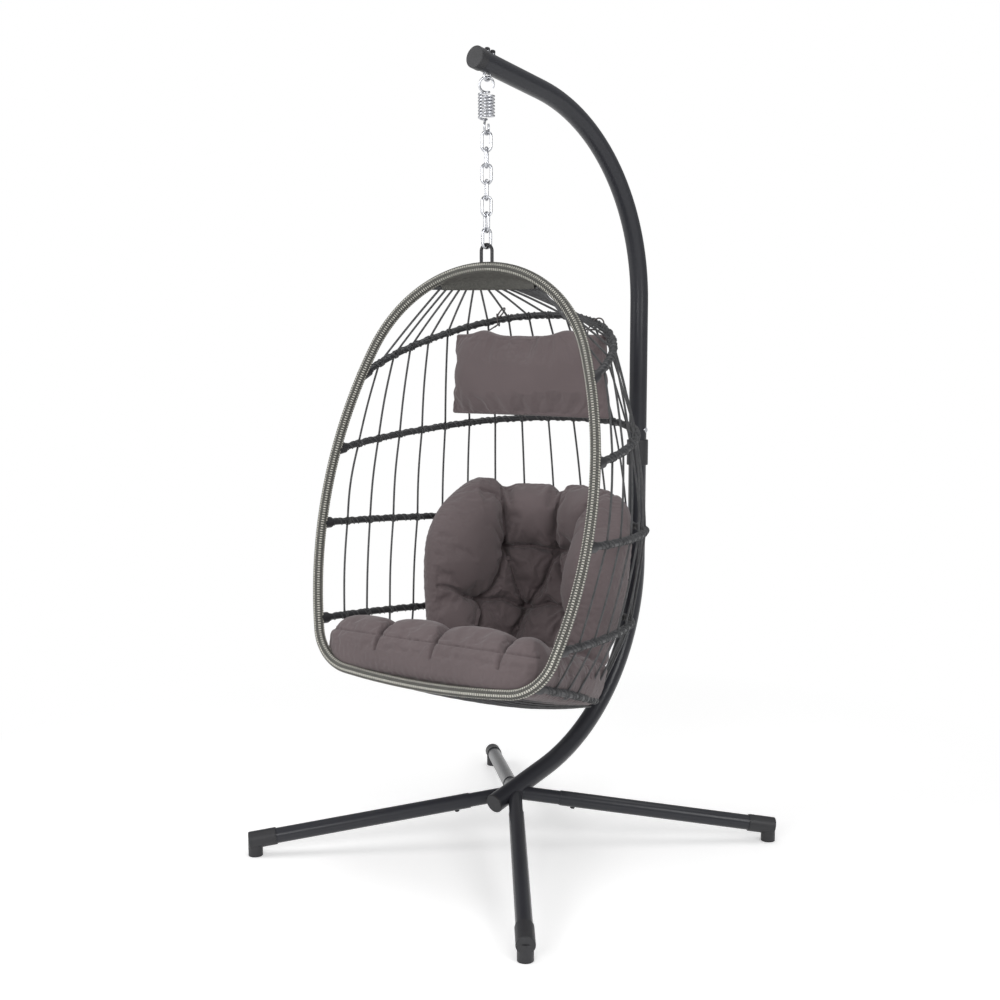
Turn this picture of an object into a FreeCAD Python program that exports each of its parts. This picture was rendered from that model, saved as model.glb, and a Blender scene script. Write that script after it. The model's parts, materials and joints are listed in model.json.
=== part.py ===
import FreeCAD, Part
import math
import os

os.makedirs("parts", exist_ok=True)
V = FreeCAD.Vector

# Hanging egg chair, millimetres, +Z up. The chair's stand faces -Y, with its upright pole at +Y.
# Driving dimensions of the stand
pole_diameter = 48.0
pole_wall = 1.6
pole_setback = 516.0            # hub of the cross base to the upright pole, along Y
pole_bend_radius = 515.0        # both bends of the pole, on its centreline
lower_bend_angle = 76.7         # how far the lower bend turns from the upright
lower_bend_start = 676.0        # height where the upright runs into the lower bend
lower_straight = 201.0          # straight end of the lower pole, past the hub
upper_bend_start = 1376.0
upper_bend_angle = 79.6
arm_straight = 240.0            # straight end of the arm, up to its cap's wall
joint_height = 969.0            # where the two halves of the pole meet
spigot_length = 200.0
spigot_wall = 2.0
tube_clearance = 0.2            # radial, between one tube and the next inside it
collar_length = 69.0
collar_wall = 4.8
collar_clearance = 0.2
collar_round = 2.0              # rounding of the collar's two ends
pole_bolt_diameter = 8.0
pole_bolt_rise = 62.0           # bolt's height above the joint
pole_bolt_head_diameter = 13.6
pole_bolt_head_height = 4.0
pole_bolt_end = 6.3             # shank's end beyond the pole, inside its cap nut
pole_bolt_clearance = 0.3
cap_sleeve_length = 18.0
cap_wall = 2.0
cap_end_thickness = 4.0
plug_thickness = 5.0
plug_insert_length = 22.0
leg_diameter = 38.0
leg_wall = 1.5
leg_front_angle = 42.5          # legs off the -Y axis
leg_back_angle = 46.3           # legs off the +Y axis
leg_hub_height = 138.0          # leg axis above the floor at the hub
leg_foot_height = 40.0          # leg axis above the floor at the foot
leg_reach = 652.0               # hub to the middle of a foot
leg_start = 115.0               # hub to the leg tube's inner end
leg_end_inset = 6.0             # leg tube's outer end, short of the foot's middle
stub_wall = 2.0
stub_length = 205.0             # hub to the stub's outer end
foot_sleeve_length = 46.0
foot_wall = 2.2
foot_clearance = 0.2
foot_pad_diameter = 36.0
foot_overhang = 15.0            # sleeve's closed end, beyond the foot's middle
screw_diameter = 6.0
screw_head_diameter = 12.0
screw_head_height = 4.0
screw_place = 150.0             # hub to the screw, along the leg
screw_clearance = 0.3
screw_head_round = 1.3

# Driving dimensions of the hanging gear
hang_forward = 105.0            # hub to the hanging axis, towards -Y
ubolt_wire = 7.0
ubolt_spacing = 19.0
ubolt_drop = 19.0               # arm's underside to the underside of the bolt's bend
ubolt_end = 10.0                # threaded end above the arm's top
washer_thickness = 1.6
washer_diameter = 14.0
cap_nut_diameter = 13.0
cap_nut_height = 9.0
cap_nut_dome = 3.6              # rounded part of the nut's height
contact_gap = 0.3               # free play left between pieces that hang in each other
spring_wire = 5.5
spring_outer_diameter = 40.0
spring_turns = 7.25
spring_coil_length = 53.7       # centreline of the coils, first to last
spring_loop_rise = 4.0          # from the last coil to the start of its end loop
spring_crossing_rise = 2.4      # from the last coil to where the wire crosses over
spring_loop_play = 1.2          # free play of the top loop on the U-bolt
spring_loop_open = 60.0         # degrees left open in each end loop
spring_facing = 25.0            # degrees that the top loop faces away from straight ahead
link_wire = 7.0
link_length = 51.5
link_width = 29.0
link_count = 7
link_twist = 8.0                # turn from each link to the next at rest, beside the quarter turn
eye_wire = 8.0
eye_width = 38.0                # between the legs' centrelines
eye_height = 44.0               # from the rim wrap's top to the eye's top

# Driving dimensions of the basket
basket_turn = 9.0               # how far the basket is turned on its chain, degrees
rim_lean = 15.7                 # rim's plane leans back from upright, degrees
rim_wrap_diameter = 25.0
rim_tube_diameter = 19.0
rim_bottom_radius = 2107.0      # radii on the rim tube's centreline
rim_corner_radius = 116.0
rim_side_radius = 1073.0
rim_bottom_angle = 6.2
rim_corner_angle = 67.3
rim_side_angle = 37.9
wrap_clearance = 0.1
rib_diameter = 22.0
fitting_diameter = 27.0
fitting_length = 30.0
fitting_seat = 0.3              # room between the rim's cover and what sits against it
fitting_base = 14.0             # rim's centreline to the rib's end inside the fitting
fitting_clearance = 0.1
rib_bolt_diameter = 6.0
rib_bolt_head_diameter = 10.0
rib_bolt_head_height = 4.0
rib_bolt_clearance = 0.2
rib_wall = 1.0
rim_wall = 3.5
# each rib: its ends below the rim's top, depth along its slope, rise to the rear in degrees, rear radius
RIBS = (
    ("rib_1", 260.0, 392.0, 22.5, 280.0),
    ("rib_2", 441.0, 552.0, 6.4, 300.0),
    ("rib_3", 618.0, 660.0, -3.5, 300.0),
    ("rib_4", 842.0, 688.0, -4.5, 270.0),
    ("seat_frame", 921.0, 586.0, -18.0, 230.0),
)
top_hoop_diameter = 14.0
top_hoop_half_width = 165.0
top_hoop_depth = 62.0
web_thickness = 8.0
web_part = 0.82                 # share of the top hoop's width that the web fills
rope_diameter = 5.5
rope_count = 19
rope_gap = 0.3                  # rope's end to the tube that it is tied to
under_gap = 1.45                # the same under the seat, where ropes meet the tubes at a slant
under_margin = 0.12             # first rope under the seat, as a share of the seat frame's length
under_corner_part = 0.25        # how far these ropes reach into the rim's corners, as a share of the corner
seat_half_width = 300.0         # seat cushion's outline
seat_front = -22.0              # ahead of the rim's bottom bar
seat_side_length = 330.0
seat_taper = 40.0               # narrower on each side by the end of the straight sides
seat_rear = 560.0
seat_corner = 85.0
seat_rear_arc = (0.74, 0.72)    # point of the rear's arcs, as shares of their width and depth
seat_clearance = 1.0
# seat cushion's levels: height over the ropes' plane, drawn-in outline
SEAT_LEVELS = ((17.0, 62.0), (36.0, 48.0), (66.0, 2.0), (92.0, 6.0), (108.0, 30.0), (116.0, 72.0))
roll_radius = 62.0              # roll along the seat's front
roll_ahead = 47.0               # its middle behind the rim's bottom bar
roll_height = 85.0
roll_half_length = 222.0        # to the middles of its round ends
ROLL_CREASES = (-136.0, 20.0, 198.0)
crease_radius = 16.0
crease_depth = 13.0
cushion_side = -10.0            # back cushion's middle, to the +X side
# back cushion's levels: height over the seat frame's rear, outer radius, centre behind the axis, thickness,
# and how far it wraps each way from the rear, in degrees
BACK_LEVELS = ((84.0, 208.0, 120.0, 84.0, 90.0), (118.0, 230.0, 134.0, 92.0, 99.0),
               (178.0, 250.0, 156.0, 96.0, 104.0), (292.0, 266.0, 178.0, 98.0, 105.0),
               (412.0, 270.0, 184.0, 96.0, 102.0), (504.0, 268.0, 184.0, 88.0, 88.0),
               (550.0, 260.0, 184.0, 62.0, 64.0))
# puffs of the back between its tufts: bearing from the rear, height over the seat frame's rear, radius, swell
BACK_PUFFS = ((-92.0, 430.0, 62.0, 38.0), (-67.0, 462.0, 65.0, 40.0), (-80.0, 340.0, 62.0, 40.0),
              (-23.0, 462.0, 65.0, 40.0), (23.0, 462.0, 65.0, 40.0),
              (92.0, 430.0, 62.0, 38.0), (67.0, 462.0, 65.0, 40.0), (80.0, 340.0, 62.0, 40.0),
              (-48.0, 300.0, 52.0, 28.0), (0.0, 276.0, 52.0, 28.0), (48.0, 300.0, 52.0, 28.0),
              (-23.0, 326.0, 50.0, 26.0), (24.0, 330.0, 50.0, 26.0),
              (-92.0, 190.0, 58.0, 34.0), (-56.0, 158.0, 58.0, 34.0), (0.0, 158.0, 58.0, 34.0),
              (56.0, 158.0, 58.0, 34.0), (92.0, 190.0, 58.0, 34.0))
# tufts of the back: bearing from the rear, height over the seat frame's rear
BACK_TUFTS = ((-47.0, 379.0), (1.0, 372.0), (47.0, 379.0), (-72.0, 247.0), (-24.0, 216.0), (25.0, 232.0),
              (72.0, 247.0))
tuft_radius = 30.0
tuft_depth = 18.0
SEAT_TUFT_PLACES = (125.0, 300.0)    # behind the rim's bottom bar
pillow_width = 430.0
pillow_height = 205.0
pillow_thickness = 96.0
pillow_side = 0.0             # pillow's middle, to the +X side
pillow_set_back = 180.0         # pillow's middle behind the hanging axis
pillow_drop = 262.0             # pillow's middle below the rim's top
tie_wire = 4.0
tie_places = (5.5, 11.5)         # between ropes, counted from the +X end of the first rib
tie_depth = 6.0                 # sewn into the pillow
tie_cord_wire = 3.8             # straight part, a little thinner than the loop

# Values that follow from the driving dimensions
pole_radius = pole_diameter / 2
pole_bore_radius = pole_radius - pole_wall
spigot_radius = pole_bore_radius - tube_clearance
leg_radius = leg_diameter / 2
stub_radius = leg_radius - leg_wall - tube_clearance
foot_sleeve_radius = leg_radius + foot_clearance + foot_wall
wrap_radius = rim_wrap_diameter / 2
rim_tube_radius = rim_tube_diameter / 2
rib_radius = rib_diameter / 2
top_hoop_radius = top_hoop_diameter / 2
rope_radius = rope_diameter / 2
eye_radius = eye_wire / 2
spring_mean_radius = (spring_outer_diameter - spring_wire) / 2
spring_inner_radius = spring_mean_radius - spring_wire / 2
link_bend_radius = (link_width - link_wire) / 2
hang_axis = V(0, -hang_forward, 0)


def unit(vector):
    return V(vector).normalize()


def turned(shape, degrees, centre=hang_axis):
    """A copy of the shape, turned about an upright axis."""
    copy = shape.copy()
    copy.rotate(centre, V(0, 0, 1), degrees)
    return copy


def cylinder(start, direction, radius, length):
    return Part.makeCylinder(radius, length, start, direction)


def end_edges(shape, way):
    """Edges of the flat face that looks along way."""
    return [face for face in shape.Faces if face.normalAt(0, 0).dot(way) > 0.99][0].Edges


def path(start, heading, steps, place):
    """Edges of a flat path of lines and tangent arcs. place turns its two coordinates into a 3-D point.

    A step is (length,) for a line or (radius, degrees) for an arc, with a left turn positive.
    Returns the edges, the end point and the end heading in degrees.
    """
    edges = []
    a, b = start
    for step in steps:
        angle = math.radians(heading)
        if len(step) == 1:
            end_a = a + step[0] * math.cos(angle)
            end_b = b + step[0] * math.sin(angle)
            edges.append(Part.makeLine(place(a, b), place(end_a, end_b)))
        else:
            radius, turn = step
            side = math.copysign(1.0, turn)
            centre_a = a - side * radius * math.sin(angle)
            centre_b = b + side * radius * math.cos(angle)
            spoke = heading - side * 90

            def on_arc(part):
                reach = math.radians(spoke + turn * part)
                return centre_a + radius * math.cos(reach), centre_b + radius * math.sin(reach)

            end_a, end_b = on_arc(1.0)
            edges.append(Part.Arc(place(a, b), place(*on_arc(0.5)), place(end_a, end_b)).toShape())
            heading += turn
        a, b = end_a, end_b
    return edges, (a, b), heading


def sweep(edges, radius):
    """A round rod along tangent edges."""
    first = edges[0]
    start = first.valueAt(first.FirstParameter)
    along = first.tangentAt(first.FirstParameter)
    section = Part.Wire(Part.makeCircle(radius, start, along))
    return Part.Wire(edges).makePipeShell([section], True, False)


def pipe(edges, radius, wall):
    return sweep(edges, radius).cut(sweep(edges, radius - wall))


def point_along(edges, distance):
    """Point and direction at a distance along the edges."""
    for edge in edges:
        if distance <= edge.Length or edge is edges[-1]:
            reach = edge.getParameterByLength(min(distance, edge.Length))
            return edge.valueAt(reach), edge.tangentAt(reach)
        distance -= edge.Length


def arc_middle(start, tangent, end):
    """Middle point of the arc that leaves start along tangent and reaches end."""
    chord = end - start
    across = unit(tangent) - unit(chord) * unit(tangent).dot(unit(chord))
    half_turn = unit(tangent).getAngle(chord)
    if across.Length < 1e-9:
        return start + chord * 0.5
    return start + chord * 0.5 + unit(across) * (chord.Length / 2 * math.tan(half_turn / 2))


def biarc(start, start_tangent, end, end_tangent):
    """Two tangent arcs from one point and direction to another."""
    t0, t1 = unit(start_tangent), unit(end_tangent)
    chord = end - start
    along = chord.dot(t0 + t1)
    spread = 2 * (1 - t0.dot(t1))
    if spread < 1e-9:
        reach = chord.dot(chord) / (2 * along)
    else:
        reach = (-along + math.sqrt(along * along + spread * chord.dot(chord))) / spread
    joint = (start + t0 * reach + end - t1 * reach) * 0.5
    first = Part.Arc(start, arc_middle(start, t0, joint), joint).toShape()
    second = Part.Arc(joint, arc_middle(end, t1 * -1, joint), end).toShape()
    return [first, second]


solids = {}


def keep(name, *shapes):
    """Stores a node: one solid, or a group of separate solids."""
    found = [solid for shape in shapes for solid in shape.Solids]
    solids[name] = found[0] if len(found) == 1 else Part.makeCompound(found)


# Pole: its path lies in the plane X = 0, written as (Y, Z)
def in_pole_plane(y, z):
    return V(0, y, z)


joint_point = (pole_setback, joint_height)
lower_steps = [(joint_height - lower_bend_start,), (pole_bend_radius, -lower_bend_angle), (lower_straight,)]
lower_edges, lower_end, lower_heading = path(joint_point, -90, lower_steps, in_pole_plane)
upper_steps = [(upper_bend_start - joint_height,), (pole_bend_radius, upper_bend_angle), (arm_straight,)]
upper_edges, arm_end, arm_heading = path(joint_point, 90, upper_steps, in_pole_plane)
arm_tip = in_pole_plane(*arm_end)
arm_way = V(0, math.cos(math.radians(arm_heading)), math.sin(math.radians(arm_heading)))
arm_down = V(0, -arm_way.z, arm_way.y)

pole_outside = sweep(lower_edges, pole_radius)
lower_pole = pipe(lower_edges, pole_radius, pole_wall)
upper_pole = pipe(upper_edges, pole_radius, pole_wall)

spigot_start = in_pole_plane(pole_setback, joint_height - spigot_length / 2)
up = V(0, 0, 1)
spigot = cylinder(spigot_start, up, spigot_radius, spigot_length)
spigot = spigot.cut(cylinder(spigot_start, up, spigot_radius - spigot_wall, spigot_length))

# Bolt through the pole's joint, from the +X side
bolt_radius = pole_bolt_diameter / 2
bolt_centre = in_pole_plane(pole_setback, joint_height + pole_bolt_rise)
side = V(1, 0, 0)
bolt_reach = pole_radius + pole_bolt_diameter
bolt_hole = cylinder(bolt_centre - side * bolt_reach, side, bolt_radius + pole_bolt_clearance, 2 * bolt_reach)
upper_pole = upper_pole.cut(bolt_hole)
spigot = spigot.cut(bolt_hole)
bolt_head_radius = pole_bolt_head_diameter / 2
bolt_head = cylinder(bolt_centre + side * pole_radius, side, bolt_head_radius, pole_bolt_head_height)
bolt_shank_end = pole_radius + pole_bolt_end
bolt_shank = cylinder(bolt_centre - side * bolt_shank_end, side, bolt_radius, bolt_shank_end + pole_radius)
bolt_nut = cylinder(bolt_centre - side * pole_radius, side * -1, bolt_head_radius, cap_nut_height)
keep("pole_joint_bolt", bolt_head.fuse(bolt_shank))
keep("pole_joint_nut", bolt_nut.cut(bolt_shank))

collar_start = in_pole_plane(pole_setback, joint_height - collar_length / 2)
collar_bore = pole_radius + collar_clearance
collar = cylinder(collar_start, up, collar_bore + collar_wall, collar_length)
collar_around = 2 * math.pi * (collar_bore + collar_wall)
collar_ends = [edge for edge in collar.Edges if abs(edge.Length - collar_around) < 0.01]
collar = collar.makeFillet(collar_round, collar_ends)
keep("pole_collar", collar.cut(cylinder(collar_start, up, collar_bore, collar_length)))

# Cap over the arm's end
cap_bore = pole_radius + tube_clearance
cap_start = arm_tip - arm_way * cap_sleeve_length
cap_length = cap_sleeve_length + contact_gap + cap_end_thickness
cap = cylinder(cap_start, arm_way, cap_bore + cap_wall, cap_length)
cap = cap.makeFillet(cap_wall, end_edges(cap, arm_way))
keep("arm_end_cap", cap.cut(cylinder(cap_start, arm_way, cap_bore, cap_sleeve_length + contact_gap)))

# Plug in the pole's lower end
lower_tip = in_pole_plane(*lower_end)
lower_way = V(0, math.cos(math.radians(lower_heading)), math.sin(math.radians(lower_heading)))
plug_head = cylinder(lower_tip, lower_way, pole_radius, plug_thickness)
plug_head = plug_head.makeFillet(cap_wall, end_edges(plug_head, lower_way))
plug_insert = cylinder(lower_tip, lower_way * -1, pole_bore_radius - tube_clearance, plug_insert_length)
keep("pole_foot_plug", plug_head.fuse(plug_insert))

# Cross base: four stubs on the pole, a leg tube pushed over each, and a turned-down foot at its end
hub = V(0, 0, leg_hub_height)
LEGS = (("front_right", leg_front_angle - 90), ("front_left", -90 - leg_front_angle),
        ("back_right", 90 - leg_back_angle), ("back_left", 90 + leg_back_angle))
stub_blanks = []
screws = []
for name, bearing in LEGS:
    outward = V(math.cos(math.radians(bearing)), math.sin(math.radians(bearing)), 0)
    foot_axis = outward * leg_reach + V(0, 0, leg_foot_height)
    way = unit(foot_axis - hub)
    slope = leg_reach / (foot_axis - hub).Length

    def at(reach):
        return hub + way * (reach / slope)

    stub_long = stub_length / slope
    stub_solid = cylinder(hub, way, stub_radius, stub_long)
    stub = stub_solid.cut(cylinder(hub, way, stub_radius - stub_wall, stub_long)).cut(pole_outside)
    for other in stub_blanks:
        stub = stub.cut(other)
    stub_blanks.append(stub_solid)

    leg_end = leg_reach - leg_end_inset
    leg_long = (leg_end - leg_start) / slope
    leg = cylinder(at(leg_start), way, leg_radius, leg_long)
    leg = leg.cut(cylinder(at(leg_start), way, leg_radius - leg_wall, leg_long))

    below = unit(way.cross(outward.cross(up)))
    below = below if below.z < 0 else below * -1
    screw_point = at(screw_place) + below * leg_radius
    screw_reach = leg_wall + tube_clearance + stub_wall + screw_diameter
    screw_hole = cylinder(screw_point - below * screw_reach, below,
                          screw_diameter / 2 + screw_clearance, screw_reach + screw_diameter)
    leg = leg.cut(screw_hole)
    stub = stub.cut(screw_hole)
    screw = cylinder(screw_point, below, screw_head_diameter / 2, screw_head_height)
    screw = screw.makeFillet(screw_head_round, end_edges(screw, below))
    screw_shank = cylinder(screw_point - below * screw_reach, below, screw_diameter / 2, screw_reach)
    screws.append(screw.fuse(screw_shank))

    sleeve_start = at(leg_end - foot_sleeve_length)
    sleeve_long = (foot_sleeve_length + leg_end_inset + foot_overhang) / slope
    foot = cylinder(sleeve_start, way, foot_sleeve_radius, sleeve_long)
    foot = foot.makeFillet(foot_wall, end_edges(foot, way))
    foot = foot.fuse(cylinder(outward * leg_reach, up, foot_pad_diameter / 2, leg_foot_height))
    foot_bore = foot_sleeve_length / slope + contact_gap
    foot = foot.cut(cylinder(sleeve_start, way, leg_radius + foot_clearance, foot_bore))
    keep("leg_stub_" + name, stub)
    keep("leg_" + name, leg)
    keep("foot_cap_" + name, foot)
keep("leg_screws", *screws)

# U-bolt: through the arm, with its bend below the arm on the hanging axis
ubolt_radius = ubolt_wire / 2
ubolt_depth = pole_radius + ubolt_drop - ubolt_radius
arm_back = (arm_tip.y + arm_down.y * ubolt_depth + hang_forward) / arm_way.y
ubolt_root = arm_tip - arm_way * arm_back
ubolt_side = ubolt_spacing / 2
ubolt_top = pole_radius + ubolt_end


def in_ubolt_plane(a, b):
    return ubolt_root + arm_way * a + arm_down * b


leg_straight = ubolt_top + ubolt_depth - ubolt_side
ubolt_edges, _, _ = path((-ubolt_side, -ubolt_top), 90,
                         [(leg_straight,), (ubolt_side, -180), (leg_straight,)], in_ubolt_plane)
keep("u_bolt", sweep(ubolt_edges, ubolt_radius))
washers, nuts = [], []
for place_along in (-ubolt_side, ubolt_side):
    leg_top = in_ubolt_plane(place_along, -ubolt_top)
    shank = cylinder(leg_top - arm_down, arm_down, ubolt_radius, ubolt_top * 2)
    upper_pole = upper_pole.cut(cylinder(leg_top, arm_down, ubolt_radius + contact_gap, ubolt_top * 2))
    seat = in_ubolt_plane(place_along, -pole_radius)
    washer = cylinder(seat, arm_down * -1, washer_diameter / 2, washer_thickness)
    washers.append(washer.cut(cylinder(seat, arm_down * -1, ubolt_radius + contact_gap, washer_thickness)))
    nut_base = seat - arm_down * washer_thickness
    nut = cylinder(nut_base, arm_down * -1, cap_nut_diameter / 2, cap_nut_height)
    nut = nut.makeFillet(cap_nut_dome, end_edges(nut, arm_down * -1))
    nuts.append(nut.cut(cylinder(leg_top, arm_down, ubolt_radius, ubolt_top)))
keep("u_bolt_washers", *washers)
keep("u_bolt_nuts", *nuts)
keep("lower_pole", lower_pole)
keep("upper_pole", upper_pole)
keep("pole_spigot", spigot)

# Extension spring: coils as biarcs of a quarter turn, and an end loop that crosses the axis at each end
swing_height = (ubolt_root + arm_down * ubolt_depth).z + ubolt_radius
top_loop_centre = swing_height + spring_loop_play - spring_inner_radius
helix_pitch = spring_coil_length / spring_turns
half_height = spring_coil_length / 2
loop_start = half_height + spring_loop_rise
spring_centre = top_loop_centre - spring_mean_radius - loop_start
climb = math.atan(helix_pitch / (2 * math.pi * spring_mean_radius))


def helix(turn):
    """Point and direction on the coil, with its last turn's end at turn 0 on the local X axis."""
    angle = 2 * math.pi * turn
    point = V(spring_mean_radius * math.cos(angle), spring_mean_radius * math.sin(angle),
              half_height + helix_pitch * turn)
    way = V(-math.sin(angle) * math.cos(climb), math.cos(angle) * math.cos(climb), math.sin(climb))
    return point, way


def end_loop():
    """From the coil's upper end across the axis and round the loop."""
    point, way = helix(0)
    small = spring_mean_radius / 2
    middle = V(small, small, half_height + spring_crossing_rise)
    middle_way = V(-1, 0, math.tan(climb))
    centre = V(0, 0, loop_start)
    edges = biarc(point, way, middle, middle_way) + biarc(middle, middle_way, centre, V(0, -1, 0))
    sweep_angle = 360 - spring_loop_open
    pieces = 4
    for piece in range(pieces):
        ends = [math.radians(sweep_angle * (piece + part) / pieces) for part in (0, 0.5, 1)]
        edges.append(Part.Arc(*[V(0, -spring_mean_radius * math.sin(angle),
                                  loop_start + spring_mean_radius * (1 - math.cos(angle)))
                                for angle in ends]).toShape())
    return edges


quarters = round(spring_turns * 4)
coil_edges = []
for quarter in range(quarters, 0, -1):
    coil_edges += biarc(*helix(-quarter / 4), *helix(-(quarter - 1) / 4))
top_edges = end_loop()
# the lower loop is the upper one turned half round about a level axis
flip_angle = math.radians(-spring_turns * 360 / 2)
flip_axis = V(math.cos(flip_angle), math.sin(flip_angle), 0)
bottom_edges = []
for edge in reversed(top_edges):
    flipped = [edge.valueAt(value) for value in
               (edge.LastParameter, (edge.FirstParameter + edge.LastParameter) / 2, edge.FirstParameter)]
    flipped = [FreeCAD.Rotation(flip_axis, 180).multVec(point) for point in flipped]
    bottom_edges.append(Part.Arc(*flipped).toShape())
spring_edges = bottom_edges + coil_edges + top_edges
spring = sweep(spring_edges, spring_wire / 2)
spring.translate(V(0, -hang_forward, spring_centre))
spring = turned(spring, spring_facing - 90)
keep("spring", spring)


def least_self_gap(edges, wire):
    """Smallest distance between surfaces of stretches more than a third of a turn apart along the wire."""
    step = wire / 2
    points = []
    for edge in edges:
        count = max(2, int(edge.Length / step))
        points += edge.discretize(Number=count)[:-1]
    apart = int(2 * math.pi * spring_mean_radius * 0.3 / step)
    gap = min(points[i].distanceToPoint(points[j])
              for i in range(len(points)) for j in range(i + apart, len(points)))
    return gap - wire


print("spring's least gap to itself, mm:", round(least_self_gap(spring_edges, spring_wire), 2))

# Chain: links that hang in each other, each turned a little further than a quarter turn
link_straight = link_length - link_width
link_pitch = link_length - 2 * link_wire - contact_gap
bottom_loop_centre = 2 * spring_centre - top_loop_centre
first_link_top = bottom_loop_centre - spring_inner_radius + contact_gap + link_wire
link_steps = [(link_straight,), (link_bend_radius, 180), (link_straight,), (link_bend_radius, 180)]
for number in range(link_count):
    top = first_link_top - number * link_pitch
    low = top - link_length + link_width / 2

    def in_link_plane(x, z):
        return V(x, -hang_forward, low + z)

    link_edges, _, _ = path((link_bend_radius, 0), 90, link_steps, in_link_plane)
    halves = [sweep(link_edges[:2], link_wire / 2), sweep(link_edges[2:], link_wire / 2)]
    link = halves[0].fuse(halves[1])
    facing = spring_facing + number * link_twist + 90 * (number % 2)
    keep("chain_link_%d" % (number + 1), turned(link, facing))
last_link_bottom = first_link_top - (link_count - 1) * link_pitch - link_length

# Basket: built facing -Y, then turned with its eye
eye_top = last_link_bottom + link_wire + contact_gap + eye_wire
rim_top = eye_top - eye_height - wrap_radius
lean = math.radians(rim_lean)
turn_1 = math.radians(rim_bottom_angle)
turn_2 = math.radians(rim_bottom_angle + rim_corner_angle)
turn_3 = math.radians(rim_bottom_angle + rim_corner_angle + rim_side_angle)
rim_top_angle = 180 - rim_bottom_angle - rim_corner_angle - rim_side_angle
# the top radius that brings the half outline back to the middle
rim_top_radius = (rim_bottom_radius * math.sin(turn_1)
                  + rim_corner_radius * (math.sin(turn_2) - math.sin(turn_1))
                  + rim_side_radius * (math.sin(turn_3) - math.sin(turn_2))) / math.sin(turn_3)
rim_steps = [(rim_bottom_radius, rim_bottom_angle), (rim_corner_radius, rim_corner_angle),
             (rim_side_radius, rim_side_angle), (rim_top_radius, rim_top_angle)]
_, rim_end, _ = path((0, 0), 0, rim_steps, lambda u, v: V(u, 0, v))
rim_height = rim_end[1]


def in_rim_plane(u, v):
    drop = rim_height - v
    return V(u, -hang_forward - drop * math.sin(lean), rim_top - drop * math.cos(lean))


rim_edges, _, _ = path((0, 0), 0, rim_steps, in_rim_plane)
rim_length = sum(edge.Length for edge in rim_edges)
mirror_plane = V(1, 0, 0)


def both_sides(shape):
    """The shape fused with its mirror image across the plane X = 0."""
    return shape.fuse(shape.mirror(V(0, 0, 0), mirror_plane))


def on_rim(height):
    """Point of the rim's +X half at a height, found by halving the range."""
    low, high = 0.0, rim_length
    for _ in range(50):
        middle = (low + high) / 2
        if point_along(rim_edges, middle)[0].z < height:
            low = middle
        else:
            high = middle
    return point_along(rim_edges, low)[0]


rim_skin = both_sides(sweep(rim_edges, wrap_radius))
rim_seat = both_sides(sweep(rim_edges, wrap_radius + fitting_seat))
rim_rod = both_sides(sweep(rim_edges, rim_tube_radius))
rim_tube = rim_rod.cut(both_sides(sweep(rim_edges, rim_tube_radius - rim_wall)))
rim_wrap = rim_skin.cut(both_sides(sweep(rim_edges, rim_tube_radius + wrap_clearance)))

# Eye: an upside-down U whose legs stand on the rim's tube
eye_bend = (eye_width - eye_wire) / 2
eye_crown = eye_top - eye_radius - eye_bend


def in_eye_plane(x, z):
    return V(x, -hang_forward, z)


eye_foot = rim_top - rim_tube_radius
eye_edges, _, _ = path((eye_bend, eye_foot), 90,
                       [(eye_crown - eye_foot,), (eye_bend, 180), (eye_crown - eye_foot,)], in_eye_plane)
eye = sweep(eye_edges, eye_radius)
eye_room = sweep(eye_edges, eye_radius + contact_gap)
rim_wrap = rim_wrap.cut(eye_room)
eye = eye.cut(rim_rod)
eye = max(eye.Solids, key=lambda solid: solid.Volume)

# Ribs: three-centred arches in planes that slope to the rear, each end in a fitting behind the rim
hoops = {}
fittings, rib_bolts, ribs = [], [], {}
for name, drop, depth, rise, rear_radius in RIBS:
    end = on_rim(rim_top - drop)
    slope = math.radians(rise)
    back = V(0, math.cos(slope), math.sin(slope))

    def in_rib_plane(x, d):
        return V(x, end.y + d * back.y, end.z + d * back.z)

    half = end.x
    arch = depth - fitting_length
    side_radius = (half ** 2 + (arch - rear_radius) ** 2 - rear_radius ** 2) / (2 * (half - rear_radius))
    side_turn = math.degrees(math.atan2(arch - rear_radius, side_radius - half))
    straight = fitting_length - fitting_base
    rib_steps = [(straight,), (side_radius, side_turn), (rear_radius, 180 - 2 * side_turn),
                 (side_radius, side_turn), (straight,)]
    edges, _, _ = path((half, fitting_base), 90, rib_steps, in_rib_plane)
    hoops[name] = edges
    ribs[name] = pipe(edges, rib_radius, rib_wall).cut(rim_seat)
    for sign in (1, -1):
        root = V(sign * half, end.y, end.z)
        fitting = cylinder(root, back, fitting_diameter / 2, fitting_length)
        fitting = fitting.cut(rim_seat)
        fitting = max(fitting.Solids, key=lambda solid: solid.Volume)
        socket = cylinder(root + back * fitting_base, back, rib_radius + fitting_clearance, fitting_length)
        fitting = fitting.cut(socket)
        bolt_start = rim_tube_radius - rim_wall - rib_bolt_diameter / 2
        hole_radius = rib_bolt_diameter / 2 + rib_bolt_clearance
        hole = cylinder(root + back * (bolt_start / 2), back, hole_radius, fitting_length)
        fitting = fitting.cut(hole)
        rim_wrap = rim_wrap.cut(hole)
        rim_tube = rim_tube.cut(hole)
        fittings.append(fitting)
        shank = cylinder(root + back * bolt_start, back, rib_bolt_diameter / 2, fitting_base - bolt_start)
        head = cylinder(root + back * fitting_base, back, rib_bolt_head_diameter / 2, rib_bolt_head_height)
        rib_bolts.append(shank.fuse(head.cut(rim_seat)))

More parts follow.
